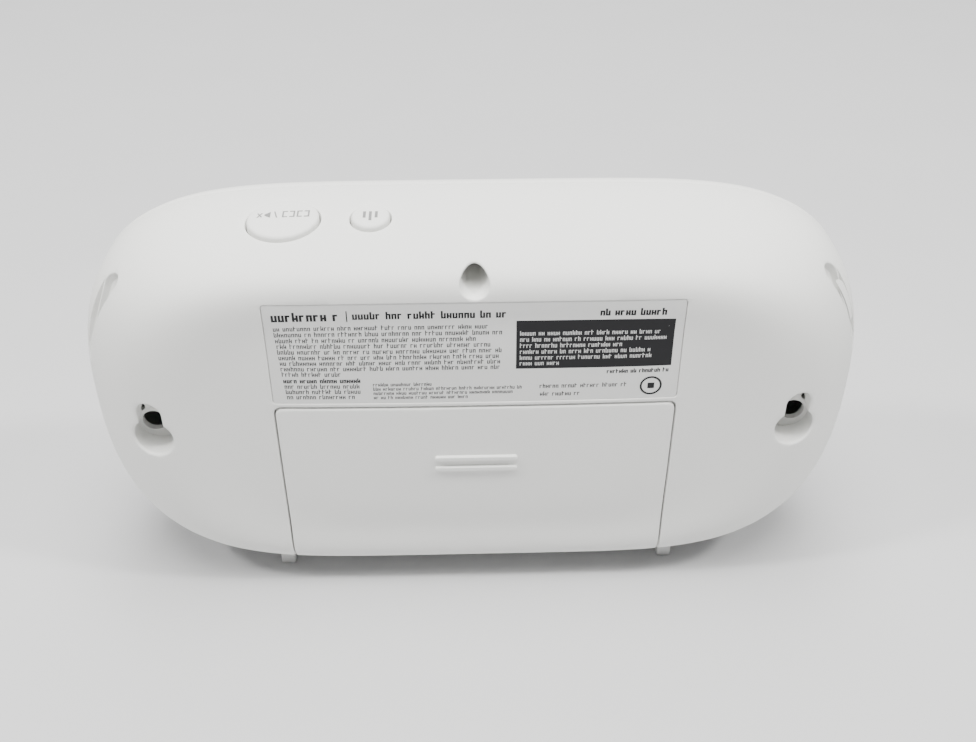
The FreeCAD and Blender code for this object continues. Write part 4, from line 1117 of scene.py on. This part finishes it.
        Bench.boolean(body, recess, "DIFFERENCE")
        feet = [self._foot(side) for side in (-1, 1)]
        shell = Bench.join("rear_housing_shell", [body, *feet])
        Bench.smooth(shell, 32)
        WHITE.dress(shell)
        report(shell, "case", "case_white", "rear_housing")
        return shell

    def _screw_spots(self) -> list[tuple[float, float, float]]:
        """Where the case screws stand: X, Z and the width of the way to the head."""
        low, high, _ = node_box("case_screws")
        half_head = 2.0 * MM
        return [(0.0, high.z - half_head, self.head_way),
                (low.x + half_head, low.z + half_head, self.low_head_way),
                (high.x - half_head, low.z + half_head, self.low_head_way)]

    def _key_outline(self, grow: float) -> list[tuple[float, float]]:
        """The keyhole's outline, grown all round."""
        return keyhole(self.key_head + grow, self.key_neck + grow, self.key_rise, self.lobe_steps)

    def _key_prism(self, name: str, side: int, grow: float, start: float) -> bpy.types.Object:
        """A plain keyhole prism along Y."""
        outline = self._key_outline(grow)
        return Bench.loft(name, [[Vector((side * self.key_x + x, depth, self.key_z + z))
                                  for x, z in outline] for depth in (start, 30 * MM)])

    def _rear_openings(self, body: bpy.types.Object, top_screw: tuple[float, float, float]
                       ) -> None:
        """Cuts keyholes, the screw way, end vents and button holes."""
        x, z, way = top_screw
        tools = [self._plug("top_way", self.face_points(oval_points(way / 2, way / 2), x, z), 0.3 * MM,
                            lambda spot, normal, side: Vector((spot.x, 3.75 * MM, spot.z)))]
        for side in (-1, 1):
            tools.append(self._plug(
                "key_way", self.face_points(self._key_outline(0), side * self.key_x, self.key_z),
                0.4 * MM, lambda spot, normal, out: Vector((spot.x, self.key_floor, spot.z))))
            tools.append(self._vent(side))
        for name, gap in (("test_button", self.button_gap), ("peak_button", self.button_gap)):
            tools.append(self._button_way(name, gap))
        for tool in tools:
            Bench.boolean(body, tool, "DIFFERENCE")
        marks = []
        for side in (-1, 1):
            start = self.key_floor - 2 * self.key_wall
            marks.append(Bench.rod("floor_hole", "Y", (side * (self.key_x + 0.8 * MM), start,
                                                       self.key_z), self.key_hole,
                                   3 * self.key_wall, 40))
            marks.append(Bench.rod("floor_spot", "Y", (side * (self.key_x + 2.7 * MM), start,
                                                       self.key_z + 3.0 * MM), self.key_spot,
                                   3 * self.key_wall, 32))
            slit_y = self.vent_y + 1.0 * MM
            marks.append(Bench.block("slit", (side * 68 * MM - 11 * MM, slit_y,
                                              self.vent_z - 5 * MM),
                                     (side * 68 * MM + 9 * MM, slit_y + 0.55 * MM,
                                      self.vent_z + 6 * MM)))
        Bench.boolean(body, Bench.join("marks", marks), "DIFFERENCE")

    def _vent(self, side: int) -> bpy.types.Object:
        """The scoop in one end wall, deep at its top and running out at its bottom."""
        half_long = self.vent_long / 2
        points = []
        for up, deep in capsule(half_long, self.vent_wide / 2, 24):
            high = up / self.vent_long + 0.5
            taper = 0.22 + 0.78 * min(high * 1.7, 1) ** 1.3
            points.append(self.skin.hit((side * 40 * MM, self.vent_y + deep * taper,
                                         self.vent_z + up), (side, 0, 0)))
        frames = self.skin.frames(points)
        rings = eased_rings(frames, 0.25 * MM, 1)
        for share, pull in ((0.75, 0.06), (0.95, 0.2), (1.0, 0.45)):
            ring = []
            for spot, normal, out in frames:
                high = (spot.z - self.vent_z) / self.vent_long + 0.5
                deep = 0.3 * MM + (self.vent_deep - 0.3 * MM) * min(max(high * 1.4, 0), 1)
                ring.append(spot - normal * deep * share
                            - out * pull * MM * min(max(high * 2, 0.3), 1))
            rings.append(ring)
        return Bench.loft("vent_scoop", rings)

    def _button_way(self, name: str, gap: float) -> bpy.types.Object:
        """The hole for a top button."""
        half_x, half_y, centre = button_sizes(name)
        points = [self.skin.hit((centre.x + x, centre.y + y, 55 * MM), (0, 0, 1))
                  for x, y in oval_points(half_x + gap, half_y + gap)]
        return self._plug("button_way", points, 0.25 * MM,
                          lambda spot, normal, side: Vector((spot.x, spot.y, 61.2 * MM)))

    def _foot(self, side: int) -> bpy.types.Object:
        """A small foot rib with eased lower edges."""
        x = side * 35.8 * MM
        foot = Bench.block("foot", (x - 1.3 * MM, -4.15 * MM, 0),
                           (x + 1.3 * MM, 10.7 * MM, 5 * MM))
        Bench.pick_edges(foot, lambda edge: all(v.co.z < MM for v in edge.verts)
                         or abs(edge.verts[0].co.z - edge.verts[1].co.z) > MM)
        bpy.ops.mesh.bevel(offset=0.35 * MM, segments=3, affect="EDGES")
        Bench.done()
        return foot

    def front(self) -> bpy.types.Object:
        """Models the front cover with its window seat, grilles and lamp hole."""
        form = self.form
        body = form.solid("front_cover_shell", Half.FRONT, groove=True)
        Bench.boolean(body, form.solid("front_room", Half.FRONT, form.wall, 120, 22, past=MM),
                      "DIFFERENCE")
        w_low, w_high, w_mid = node_box("display_window")
        half_x, half_z = w_high.x, (w_high.z - w_low.z) / 2
        grow = 0.15 * MM
        seat = self._plug("seat", self.face_points(
            round_box(half_x + grow, half_z + grow, 4 * MM + grow), 0, w_mid.z, self.front_skin),
            0.3 * MM, lambda spot, normal, side: spot - normal * 1.55 * MM, self.front_skin)
        Bench.boolean(body, seat, "DIFFERENCE")
        outline = round_box(half_x - 1.5 * MM, half_z - 1.5 * MM, 2.5 * MM)
        way = Bench.loft("window_way", [[Vector((x, y, w_mid.z + z)) for x, z in outline]
                                        for y in (-25 * MM, form.seam - 2 * MM)])
        Bench.boolean(body, way, "DIFFERENCE")
        tools = []
        for across in (node_box("sounder_cup")[2].x, node_box("gas_sensor")[2].x):
            for index in range(-2, 3):
                level = index * self.slot_pitch
                half = self.slot_long / 2 - abs(level) / 2
                points = self.face_points(capsule(half, self.slot_wide / 2, 10), across,
                                          form.middle + level, self.front_skin)
                tools.append(self._plug("grille_slot", points, 0.3 * MM,
                                        lambda spot, normal, side: spot - normal * 4 * MM,
                                        self.front_skin))
        pipe = node_box("light_pipe")[2]
        tools.append(self._plug("lamp_way", self.face_points(oval_points(1.6 * MM, 1.6 * MM, 40),
                                                             0, pipe.z, self.front_skin), 0.2 * MM,
                                lambda spot, normal, side: spot - normal * 4 * MM,
                                self.front_skin))
        Bench.boolean(body, Bench.join("front_openings", tools), "DIFFERENCE")
        Bench.smooth(body, 32)
        WHITE.dress(body)
        report(body, "case", "case_white", "front_cover")
        return body

    def door(self) -> bpy.types.Object:
        """Models the battery door with its rounded rim, grip ribs and tongues."""
        form = self.form
        low, high, _ = node_box("battery_door")
        top = high.z - 2.0 * MM
        plate = self.wrap_plug("battery_door_panel", self.door_line(high.x, top, low.y, 1.3 * MM),
                               0.3 * MM, -1, 4 * MM)
        Bench.boolean(plate, form.solid("door_outer", Half.REAR, 0.0), "INTERSECT")
        Bench.boolean(plate, form.solid("door_inner", Half.REAR, 1.7 * MM, 160, 30), "DIFFERENCE")
        parts = [plate]
        for index in range(2):
            level = top - 10.5 * MM - index * 2.25 * MM
            parts.append(self._grip(level))
        for side in (-1, 1):
            x = side * 18 * MM
            y = form.back - form.wall - 1.2 * MM
            tongue = Bench.block("tongue", (x - 4 * MM, y, 39.8 * MM), (x + 4 * MM, y + 0.8 * MM,
                                                                        high.z))
            Bench.pick_edges(tongue, lambda edge: all(v.co.z > 43 * MM for v in edge.verts))
            bpy.ops.mesh.bevel(offset=0.25 * MM, segments=2, affect="EDGES")
            Bench.done()
            parts.append(tongue)
            parts.append(Bench.block("tongue_root", (x - 4 * MM, y + 0.1 * MM, 39.8 * MM),
                                     (x + 4 * MM, form.back - 1.2 * MM, top - 0.4 * MM)))
        door = Bench.join("battery_door_panel", parts)
        Bench.smooth(door, 32)
        WHITE.dress(door)
        report(door, "door", "case_white", "battery_door")
        return door

    def _grip(self, level: float) -> bpy.types.Object:
        """One rounded grip rib across the door."""
        half = 7 * MM
        base = self.skin.hit((0, 0, level), (0, 1, 0)).y
        outline = capsule(half, 0.42 * MM, 8)
        rings = []
        for rise, shrink in ((-0.8, 0.0), (0.25, 0.0), (0.42, 0.06), (0.53, 0.17), (0.57, 0.3)):
            rings.append([Vector((x * (1 - shrink * 0.42 * MM / half), base + rise * MM,
                                  level + z * (1 - shrink))) for x, z in outline])
        return Bench.loft("grip_rib", rings)


def button_sizes(name: str) -> tuple[float, float, Vector]:
    """Half sizes of a button's cap in X and Y, and its middle."""
    low, high, middle = node_box(name)
    flange = 0.9 * MM
    return (high.x - low.x) / 2 - flange, (high.y - low.y) / 2 - flange, middle


# ------------------------------------------------------------------ label
@dataclass
class RatingLabel:
    """The printed label above the door: film and generic print."""

    shells: CaseShells
    face_inset: float = 0.1 * MM
    film_thick: float = 0.28 * MM
    seed: int = 7
    letter: float = 0.52
    strokes: list[tuple[float, float, float, float]] = field(default_factory=list)
    pale: list[tuple[float, float, float, float]] = field(default_factory=list)

    def film(self) -> bpy.types.Object:
        """Models the label film, curved with the case."""
        low, high, middle = node_box("rating_label")
        form = self.shells.form
        points = self.shells.face_points(round_box(high.x, (high.z - low.z) / 2, 0.5 * MM), 0,
                                         middle.z)
        frames = self.shells.skin.frames(points)
        rings = [[spot + normal * MM for spot, normal, _ in frames],
                 [spot - normal * 2 * MM for spot, normal, _ in frames]]
        film = Bench.loft("rating_label_film", rings)
        Bench.boolean(film, form.solid("film_face", Half.REAR, self.face_inset, 200, 40),
                      "INTERSECT")
        Bench.boolean(film, form.solid("film_back", Half.REAR, self.face_inset + self.film_thick,
                                       160, 30), "DIFFERENCE")
        Bench.smooth(film, 32)
        LABEL_FILM.dress(film)
        report(film, "case", "label_paper", "rating_label")
        return film

    def _words(self, left: float, right: float, top: float, tall: float, bold: float,
               store: list[tuple[float, float, float, float]], draw: np.random.Generator) -> None:
        """Fills one line with rows of generic ticks and dashes, grouped as words are."""
        wide = tall * self.letter * 1.2
        at = left
        while at < right - wide:
            for _ in range(int(draw.integers(2, 9))):
                if at > right - wide:
                    break
                kind = int(draw.integers(0, 4))
                body = tall * (1.0 if draw.random() < 0.22 else 0.72)
                foot = top + tall
                stem = wide * 0.26 * bold
                store.append((at, foot - body, at + stem, foot))
                if kind != 3:
                    store.append((at + wide * 0.52, foot - tall * 0.72, at + wide * 0.52 + stem,
                                  foot))
                bar = tall * 0.15 * bold
                level = foot - tall * (0.72, 0.42, 0.15 * bold, 0.72)[kind]
                store.append((at, level, at + wide * 0.7, level + bar))
                at += wide
            at += wide * 0.75

    def layout(self) -> None:
        """Lays out the print: each line's left, right, top and height in millimetres."""
        draw = np.random.default_rng(self.seed)
        for left, right, top, tall, bold in (
                (1.3, 12.0, 1.35, 1.75, 1.35), (13.9, 38.2, 1.45, 1.45, 1.3),
                (52.6, 64.6, 1.45, 1.35, 1.4),
                (1.4, 35.4, 4.0, 0.88, 1.0), (1.4, 37.4, 5.1, 0.88, 1.0),
                (1.5, 33.7, 6.2, 0.88, 1.0), (1.6, 36.4, 7.25, 0.88, 1.0),
                (1.6, 37.6, 8.3, 0.88, 1.0), (1.7, 37.7, 9.35, 0.88, 1.0),
                (1.8, 37.5, 10.4, 0.88, 1.0), (1.8, 37.4, 11.45, 0.88, 1.0),
                (1.9, 11.6, 12.5, 0.88, 1.0), (2.0, 14.7, 13.75, 0.9, 1.35),
                (2.1, 14.8, 14.85, 0.88, 1.0), (2.2, 14.8, 15.9, 0.88, 1.0),
                (2.3, 14.2, 16.95, 0.88, 1.0),
                (16.4, 26.3, 14.7, 0.68, 1.0), (16.4, 41.0, 15.55, 0.68, 1.0),
                (16.4, 39.6, 16.4, 0.68, 1.0), (16.4, 32.0, 17.25, 0.68, 1.0),
                (43.4, 58.0, 15.35, 0.85, 1.0), (43.5, 50.8, 16.9, 0.85, 1.0),
                (54.2, 64.6, 12.75, 0.8, 1.35)):
            self._words(left, right, top, tall, bold, self.strokes, draw)
        for right, top in ((63.8, 4.35), (62.7, 5.45), (63.9, 6.55), (57.2, 7.65), (61.2, 8.75),
                           (61.6, 9.85), (46.9, 10.9)):
            self._words(40.1, right, top, 0.82, 1.0, self.pale, draw)
        self.strokes.append((12.95, 1.2, 13.12, 3.3))

    def _lay(self, name: str, marks: Sequence[tuple[float, float, float, float]], lift: float,
             finish: Finish) -> bpy.types.Object:
        """Makes flat print marks and lays them on the film."""
        low, high, _ = node_box("rating_label")
        Bench.clear()
        bpy.ops.mesh.primitive_plane_add(size=1)
        piece = Bench.named(name)
        bpy.ops.object.mode_set(mode="EDIT")
        mesh = bmesh.from_edit_mesh(piece.data)
        mesh.clear()
        for left, top, right, bottom in marks:
            corners = [(left, top), (left, bottom), (right, bottom), (right, top)]
            mesh.faces.new([mesh.verts.new((high.x - a * MM, 0, high.z - b * MM))
                            for a, b in corners])
        bmesh.update_edit_mesh(piece.data)
        Bench.done()
        skin = self.shells.skin
        for vertex in piece.data.vertices:
            spot = skin.hit((vertex.co.x, 0, vertex.co.z), (0, 1, 0))
            vertex.co.y = spot.y - self.face_inset + lift
        finish.dress(piece)
        report(piece, "case", "label_paper")
        return piece

    def panel(self) -> bpy.types.Object:
        """The dark panel at the label's right, in strips so that it follows the case."""
        marks = []
        left, right, count = 39.5, 64.6, 10
        for index in range(count):
            start = left + (right - left) * index / count
            end = left + (right - left) * (index + 1) / count
            for row in range(4):
                marks.append((start, 3.55 + 2.2 * row, end, 3.55 + 2.2 * (row + 1)))
        return self._lay("label_panel", marks, 0.012 * MM, INK)

    def emblem(self) -> bpy.types.Object:
        """A plain ring and dot in place of an approval mark."""
        marks = []
        centre, outer = (61.6, 16.2), 1.65
        for step in range(36):
            turn = 2 * math.pi * step / 36
            size = 0.17
            x, z = centre[0] + outer * math.cos(turn), centre[1] + outer * math.sin(turn)
            marks.append((x - size, z - size, x + size, z + size))
        marks.append((centre[0] - 0.55, centre[1] - 0.55, centre[0] + 0.55, centre[1] + 0.55))
        return self._lay("label_emblem", marks, 0.014 * MM, INK)

    def build(self) -> None:
        """Models the film and all print."""
        self.film()
        self.layout()
        self._lay("label_print", self.strokes, 0.012 * MM, INK)
        self.panel()
        self._lay("label_panel_print", self.pale, 0.022 * MM, INK_PALE)
        self.emblem()


# ------------------------------------------------------------------ buttons
@dataclass
class TopButtons:
    """The two top buttons, their caps, hidden flanges, stems and markings."""

    shells: CaseShells
    proud: float = 0.6 * MM
    ease: float = 0.45 * MM

    def _surface(self, x: float, y: float) -> float:
        """The height of the case's top at a place."""
        return self.shells.skin.hit((x, y, 55 * MM), (0, 0, 1)).z

    def cap(self, node: str, name: str) -> bpy.types.Object:
        """A cap with a soft edge and a top that follows the case."""
        half_x, half_y, centre = button_sizes(node)
        low, _, _ = node_box(node)
        rings: list[list[Vector]] = []

        def ring(scale: float, lift: Optional[float], floor: float = 0.0, grow: float = 0.0) -> None:
            """Adds one ring, at a lift over the case or at a fixed height."""
            points = []
            for x, y in oval_points(half_x * scale + grow, half_y * scale + grow):
                spot = (centre.x + x, centre.y + y)
                height = floor if lift is None else self._surface(*spot) + lift
                points.append(Vector((*spot, height)))
            rings.append(points)

        stem = 1.7 * MM
        rings.append([Vector((centre.x + x, centre.y + y, low.z))
                      for x, y in oval_points(stem, stem)])
        rings.append([Vector((centre.x + x, centre.y + y, self._surface(centre.x, centre.y)
                              - 3.1 * MM)) for x, y in oval_points(stem, stem)])
        ring(1.0, -3.0 * MM, grow=0.85 * MM)
        ring(1.0, -2.2 * MM, grow=0.85 * MM)
        ring(1.0, -2.15 * MM)
        for turn in (0, 22, 45, 68, 90):
            lean = math.radians(turn)
            ring(1.0, self.proud - self.ease * (1 - math.sin(lean)),
                 grow=-self.ease * (1 - math.cos(lean)))
        for scale, lift in ((0.8, 0.0), (0.55, 0.02), (0.3, 0.03), (0.08, 0.035)):
            ring(scale, self.proud + lift * MM)
        cap = Bench.loft(name, rings)
        Bench.smooth(cap, 50)
        BUTTON_WHITE.dress(cap)
        report(cap, node, "button_white", node)
        return cap

    def _mark(self, name: str, node: str, shapes: Sequence[Sequence[tuple[float, float]]]
              ) -> bpy.types.Object:
        """Flat grey marks on a button's top, given in millimetres about its middle."""
        _, _, centre = button_sizes(node)
        Bench.clear()
        bpy.ops.mesh.primitive_plane_add(size=1)
        piece = Bench.named(name)
        bpy.ops.object.mode_set(mode="EDIT")
        mesh = bmesh.from_edit_mesh(piece.data)
        mesh.clear()
        for shape in shapes:
            corners = [(centre.x + x * MM, centre.y + y * MM) for x, y in shape]
            face = mesh.faces.new([mesh.verts.new((x, y, self._surface(x, y) + self.proud
                                                   + 0.05 * MM)) for x, y in corners])
            face.normal_update()
            if face.normal.z < 0:
                face.normal_flip()
        bmesh.update_edit_mesh(piece.data)
        Bench.done()
        INK_GREY.dress(piece)
        report(piece, node, "button_white")
        return piece

    @staticmethod
    def _bar(left: float, far: float, right: float, near: float) -> list[tuple[float, float]]:
        """A small upright rectangle."""
        return [(left, far), (right, far), (right, near), (left, near)]

    def _test_shapes(self) -> list[list[tuple[float, float]]]:
        """A cross, a triangle, a slash and four plain glyph-like shapes in a row."""
        far, near, thick = -1.6, 0.1, 0.26
        middle = (far + near) / 2
        shapes = [[(4.2, far + 0.3), (3.95, far + 0.3), (3.25, near - 0.3), (3.5, near - 0.3)],
                  [(3.5, far + 0.3), (3.25, far + 0.3), (3.95, near - 0.3), (4.2, near - 0.3)],
                  [(2.95, middle - 0.2), (2.95, middle + 0.2), (2.0, near - 0.05),
                   (2.0, far + 0.05)],
                  [(1.5, far), (1.28, far), (0.82, near), (1.04, near)]]
        for index in range(4):
            right = -0.75 - index * 1.17
            left = right + 0.85
            shapes.append(self._bar(right, far, left, far + thick))
            shapes.append(self._bar(right, near - thick, left, near))
            side = right if index % 2 else left - thick
            shapes.append(self._bar(side, far + thick, side + thick, near - thick))
        return shapes

    def build(self) -> None:
        """Models both buttons and their marks."""
        self.cap("test_button", "test_button_cap")
        self.cap("peak_button", "peak_button_cap")
        self._mark("test_button_marks", "test_button", self._test_shapes())
        bars = []
        for x, near in ((-0.95, 0.75), (0.0, 1.45), (0.95, 0.75)):
            bars.append(self._bar(x - 0.24, -0.97, x + 0.24, near))
        self._mark("peak_button_marks", "peak_button", bars)


# ------------------------------------------------------------------ display and cells
@dataclass
class DisplayFace:
    """The clear window and the unlit digits behind it."""

    shells: CaseShells
    digit_tall: float = 12.0
    digit_wide: float = 6.4
    stroke: float = 1.1

    def window(self) -> bpy.types.Object:
        """Models the smoked window with its rounded rim."""
        low, high, middle = node_box("display_window")
        points = self.shells.face_points(
            round_box(high.x - 0.02 * MM, (high.z - low.z) / 2 - 0.02 * MM, 4 * MM), 0, middle.z,
            self.shells.front_skin)
        frames = self.shells.front_skin.frames(points)
        rings = []
        for drop, pull in ((1.5, 0.0), (0.4, 0.0), (0.25, 0.05), (0.15, 0.15), (0.11, 0.3)):
            rings.append([spot - normal * drop * MM - side * pull * MM
                          for spot, normal, side in frames])
        pane = Bench.loft("display_window_pane", rings)
        Bench.smooth(pane, 45)
        SMOKE.dress(pane)
        report(pane, "case", "window_smoke", "display_window")
        return pane

    def digits(self) -> bpy.types.Object:
        """Three unlit seven-segment digits on the display panel."""
        low, _, middle = node_box("display_panel")
        parts = []
        half, tall, thick = self.digit_wide / 2, self.digit_tall / 2, self.stroke / 2
        for index in (-1, 0, 1):
            for across, up, lying in ((0, tall, True), (0, 0, True), (0, -tall, True),
                                      (-half, tall / 2, False), (half, tall / 2, False),
                                      (-half, -tall / 2, False), (half, -tall / 2, False)):
                long = (half if lying else tall / 2) - 0.35
                outline = [(long, 0), (long - thick, thick), (thick - long, thick), (-long, 0),
                           (thick - long, -thick), (long - thick, -thick)]
                if not lying:
                    outline = [(b, a) for a, b in reversed(outline)]
                centre = (middle.x + (index * 10.5 - across) * MM, middle.z + up * MM)
                rings = [[Vector((centre[0] + a * MM, low.y + depth * MM, centre[1] + b * MM))
                          for a, b in outline] for depth in (0.05, -0.03)]
                parts.append(Bench.loft("segment", rings))
        piece = Bench.join("display_digits", parts)
        LCD_MARK.dress(piece)
        report(piece, "case", "display_glass")
        return piece


@dataclass
class Cells:
    """The two cells with printed sleeves, crimped ends and nubs."""

    round: float = 14.5 * MM
    long: float = 50.5 * MM
    nub_round: float = 5.5 * MM
    nub_long: float = 1.4 * MM

    def cell(self, node: str, name: str, facing: int) -> None:
        """Turns one cell's profile about its axis and dresses its parts."""
        low, high, middle = node_box(node)
        radius = self.round / 2
        tail = low.x if facing > 0 else high.x
        profile = [(0.0, 0.3, "steel"), (0.0, 5.3, "steel"), (-0.25, 5.9, "steel"),
                   (-0.25, 6.6, "sleeve"), (0.1, 7.05, "sleeve"), (0.5, 7.25, "sleeve"),
                   (14.0, 7.25, "band"), (14.01, 7.25, "band"), (48.2, 7.25, "sleeve"),
                   (48.7, 7.05, "sleeve"), (48.9, 6.6, "sleeve"), (48.6, 6.0, "steel"),
                   (48.8, 3.4, "steel"), (49.1, 2.9, "steel"), (50.1, 2.75, "steel"),
                   (50.45, 2.4, "steel"), (50.5, 1.8, "steel"), (50.5, 0.3, "steel")]
        rings = []
        for along, reach, _ in profile:
            along = max(along, 0.0)
            rings.append([Vector((tail + facing * along * MM,
                                  middle.y + min(reach * MM, radius) * math.cos(2 * math.pi * s / 64),
                                  middle.z + min(reach * MM, radius) * math.sin(2 * math.pi * s / 64)))
                          for s in range(64)])
        piece = Bench.loft(name, rings)
        Bench.smooth(piece, 35)
        for finish in (SLEEVE, SLEEVE_BAND, STEEL):
            piece.data.materials.append(finish.material())
        for face in piece.data.polygons:
            along = abs(face.center.x - tail) / MM
            reach = math.hypot(face.center.y - middle.y, face.center.z - middle.z) / MM
            if reach < 6.2:
                face.material_index = 2
            elif along > 36.0:
                face.material_index = 1
            else:
                face.material_index = 0
        report(piece, "case", "cell_sleeve", node)

    def build(self) -> None:
        """Models both cells."""
        self.cell("battery_upper", "battery_upper_cell", -1)
        self.cell("battery_lower", "battery_lower_cell", 1)


# ------------------------------------------------------------------ carried-over nodes
class CarriedNodes:
    """CAD nodes whose shapes stay and that get their real finishes."""

    @staticmethod
    def dress() -> None:
        """Puts each node's finish in its material slots."""
        for name, finish in CARRIED.items():
            finish.dress(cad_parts[name])
            LOG.info("%s carried over in %s", name, finish.name)


# ------------------------------------------------------------------ stage
@dataclass
class Stage:
    """The floor, soft lights and the camera."""

    camera_place: Point = (1.929 * MM, 161.835 * MM, 152.008 * MM)
    camera_turn: Point = (54.529, 0.025, 178.418)
    lens: float = 40.69
    table_side: float = 4.0
    world_fill: float = 0.10
    world_seen: float = 0.55

    def floor(self) -> None:
        """A wide flat pale table."""
        Bench.clear()
        bpy.ops.mesh.primitive_plane_add(size=self.table_side, location=(0, 0, 0))
        floor = Bench.named("table_sheet")
        TABLE.dress(floor)

    @staticmethod
    def lamp(name: str, place: Point, aim: Point, size: float, power: float,
             colour: Colour = (1.0, 1.0, 1.0)) -> None:
        """Adds one soft area light aimed at a point."""
        data = bpy.data.lights.new(name, "AREA")
        data.shape = "DISK"
        data.size = size
        data.energy = power
        data.color = colour
        lamp = bpy.data.objects.new(name, data)
        bpy.context.scene.collection.objects.link(lamp)
        lamp.location = place
        lamp.rotation_euler = (Vector(aim) - Vector(place)).to_track_quat("-Z", "Y").to_euler()

    def build(self) -> None:
        """Sets the floor, the lights and the camera."""
        self.floor()
        self.lamp("sky_panel", (0.0, 0.12, 1.1), (0, 0, 0.03), 0.9, 24.0, (1.0, 1.0, 0.97))
        self.lamp("left_panel", (0.64, 0.22, 0.80), (0, 0, 0.03), 0.12, 5.8, (1.0, 1.0, 0.98))
        self.lamp("right_panel", (-0.64, 0.22, 0.80), (0, 0, 0.03), 0.12, 5.8, (1.0, 1.0, 0.98))
        self.lamp("back_panel", (0.0, -0.45, 0.8), (0, -0.4, 0), 0.5, 4.0)
        world = bpy.data.worlds.new("pale_room")
        bpy.context.scene.world = world
        world.use_nodes = True
        shade = world.node_tree.nodes["Background"]
        shade.inputs["Color"].default_value = (0.93, 0.94, 1.0, 1)
        links, nodes = world.node_tree.links, world.node_tree.nodes
        path = nodes.new("ShaderNodeLightPath")
        seen = nodes.new("ShaderNodeMath")
        seen.operation = "MULTIPLY_ADD"
        seen.inputs[1].default_value = self.world_seen
        seen.inputs[2].default_value = self.world_fill
        links.new(path.outputs["Is Camera Ray"], seen.inputs[0])
        links.new(seen.outputs["Value"], shade.inputs["Strength"])
        data = bpy.data.cameras.new("photo_angle")
        data.lens = self.lens
        data.sensor_width = 36
        data.clip_start, data.clip_end = 0.01, 10
        camera = bpy.data.objects.new("photo_angle", data)
        bpy.context.scene.collection.objects.link(camera)
        camera.location = self.camera_place
        camera.rotation_euler = [math.radians(turn) for turn in self.camera_turn]
        bpy.context.scene.camera = camera


def main() -> None:
    """Builds everything in order."""
    logging.basicConfig(level=logging.INFO, format="%(name)s %(message)s")
    form = CaseForm()
    shells = CaseShells(form, Skin(form, Half.REAR), Skin(form, Half.FRONT))
    Stage().build()
    shells.rear()
    shells.front()
    shells.door()
    RatingLabel(shells).build()
    TopButtons(shells).build()
    face = DisplayFace(shells)
    face.window()
    face.digits()
    Cells().build()
    CarriedNodes.dress()


if __name__ == "__main__":
    main()
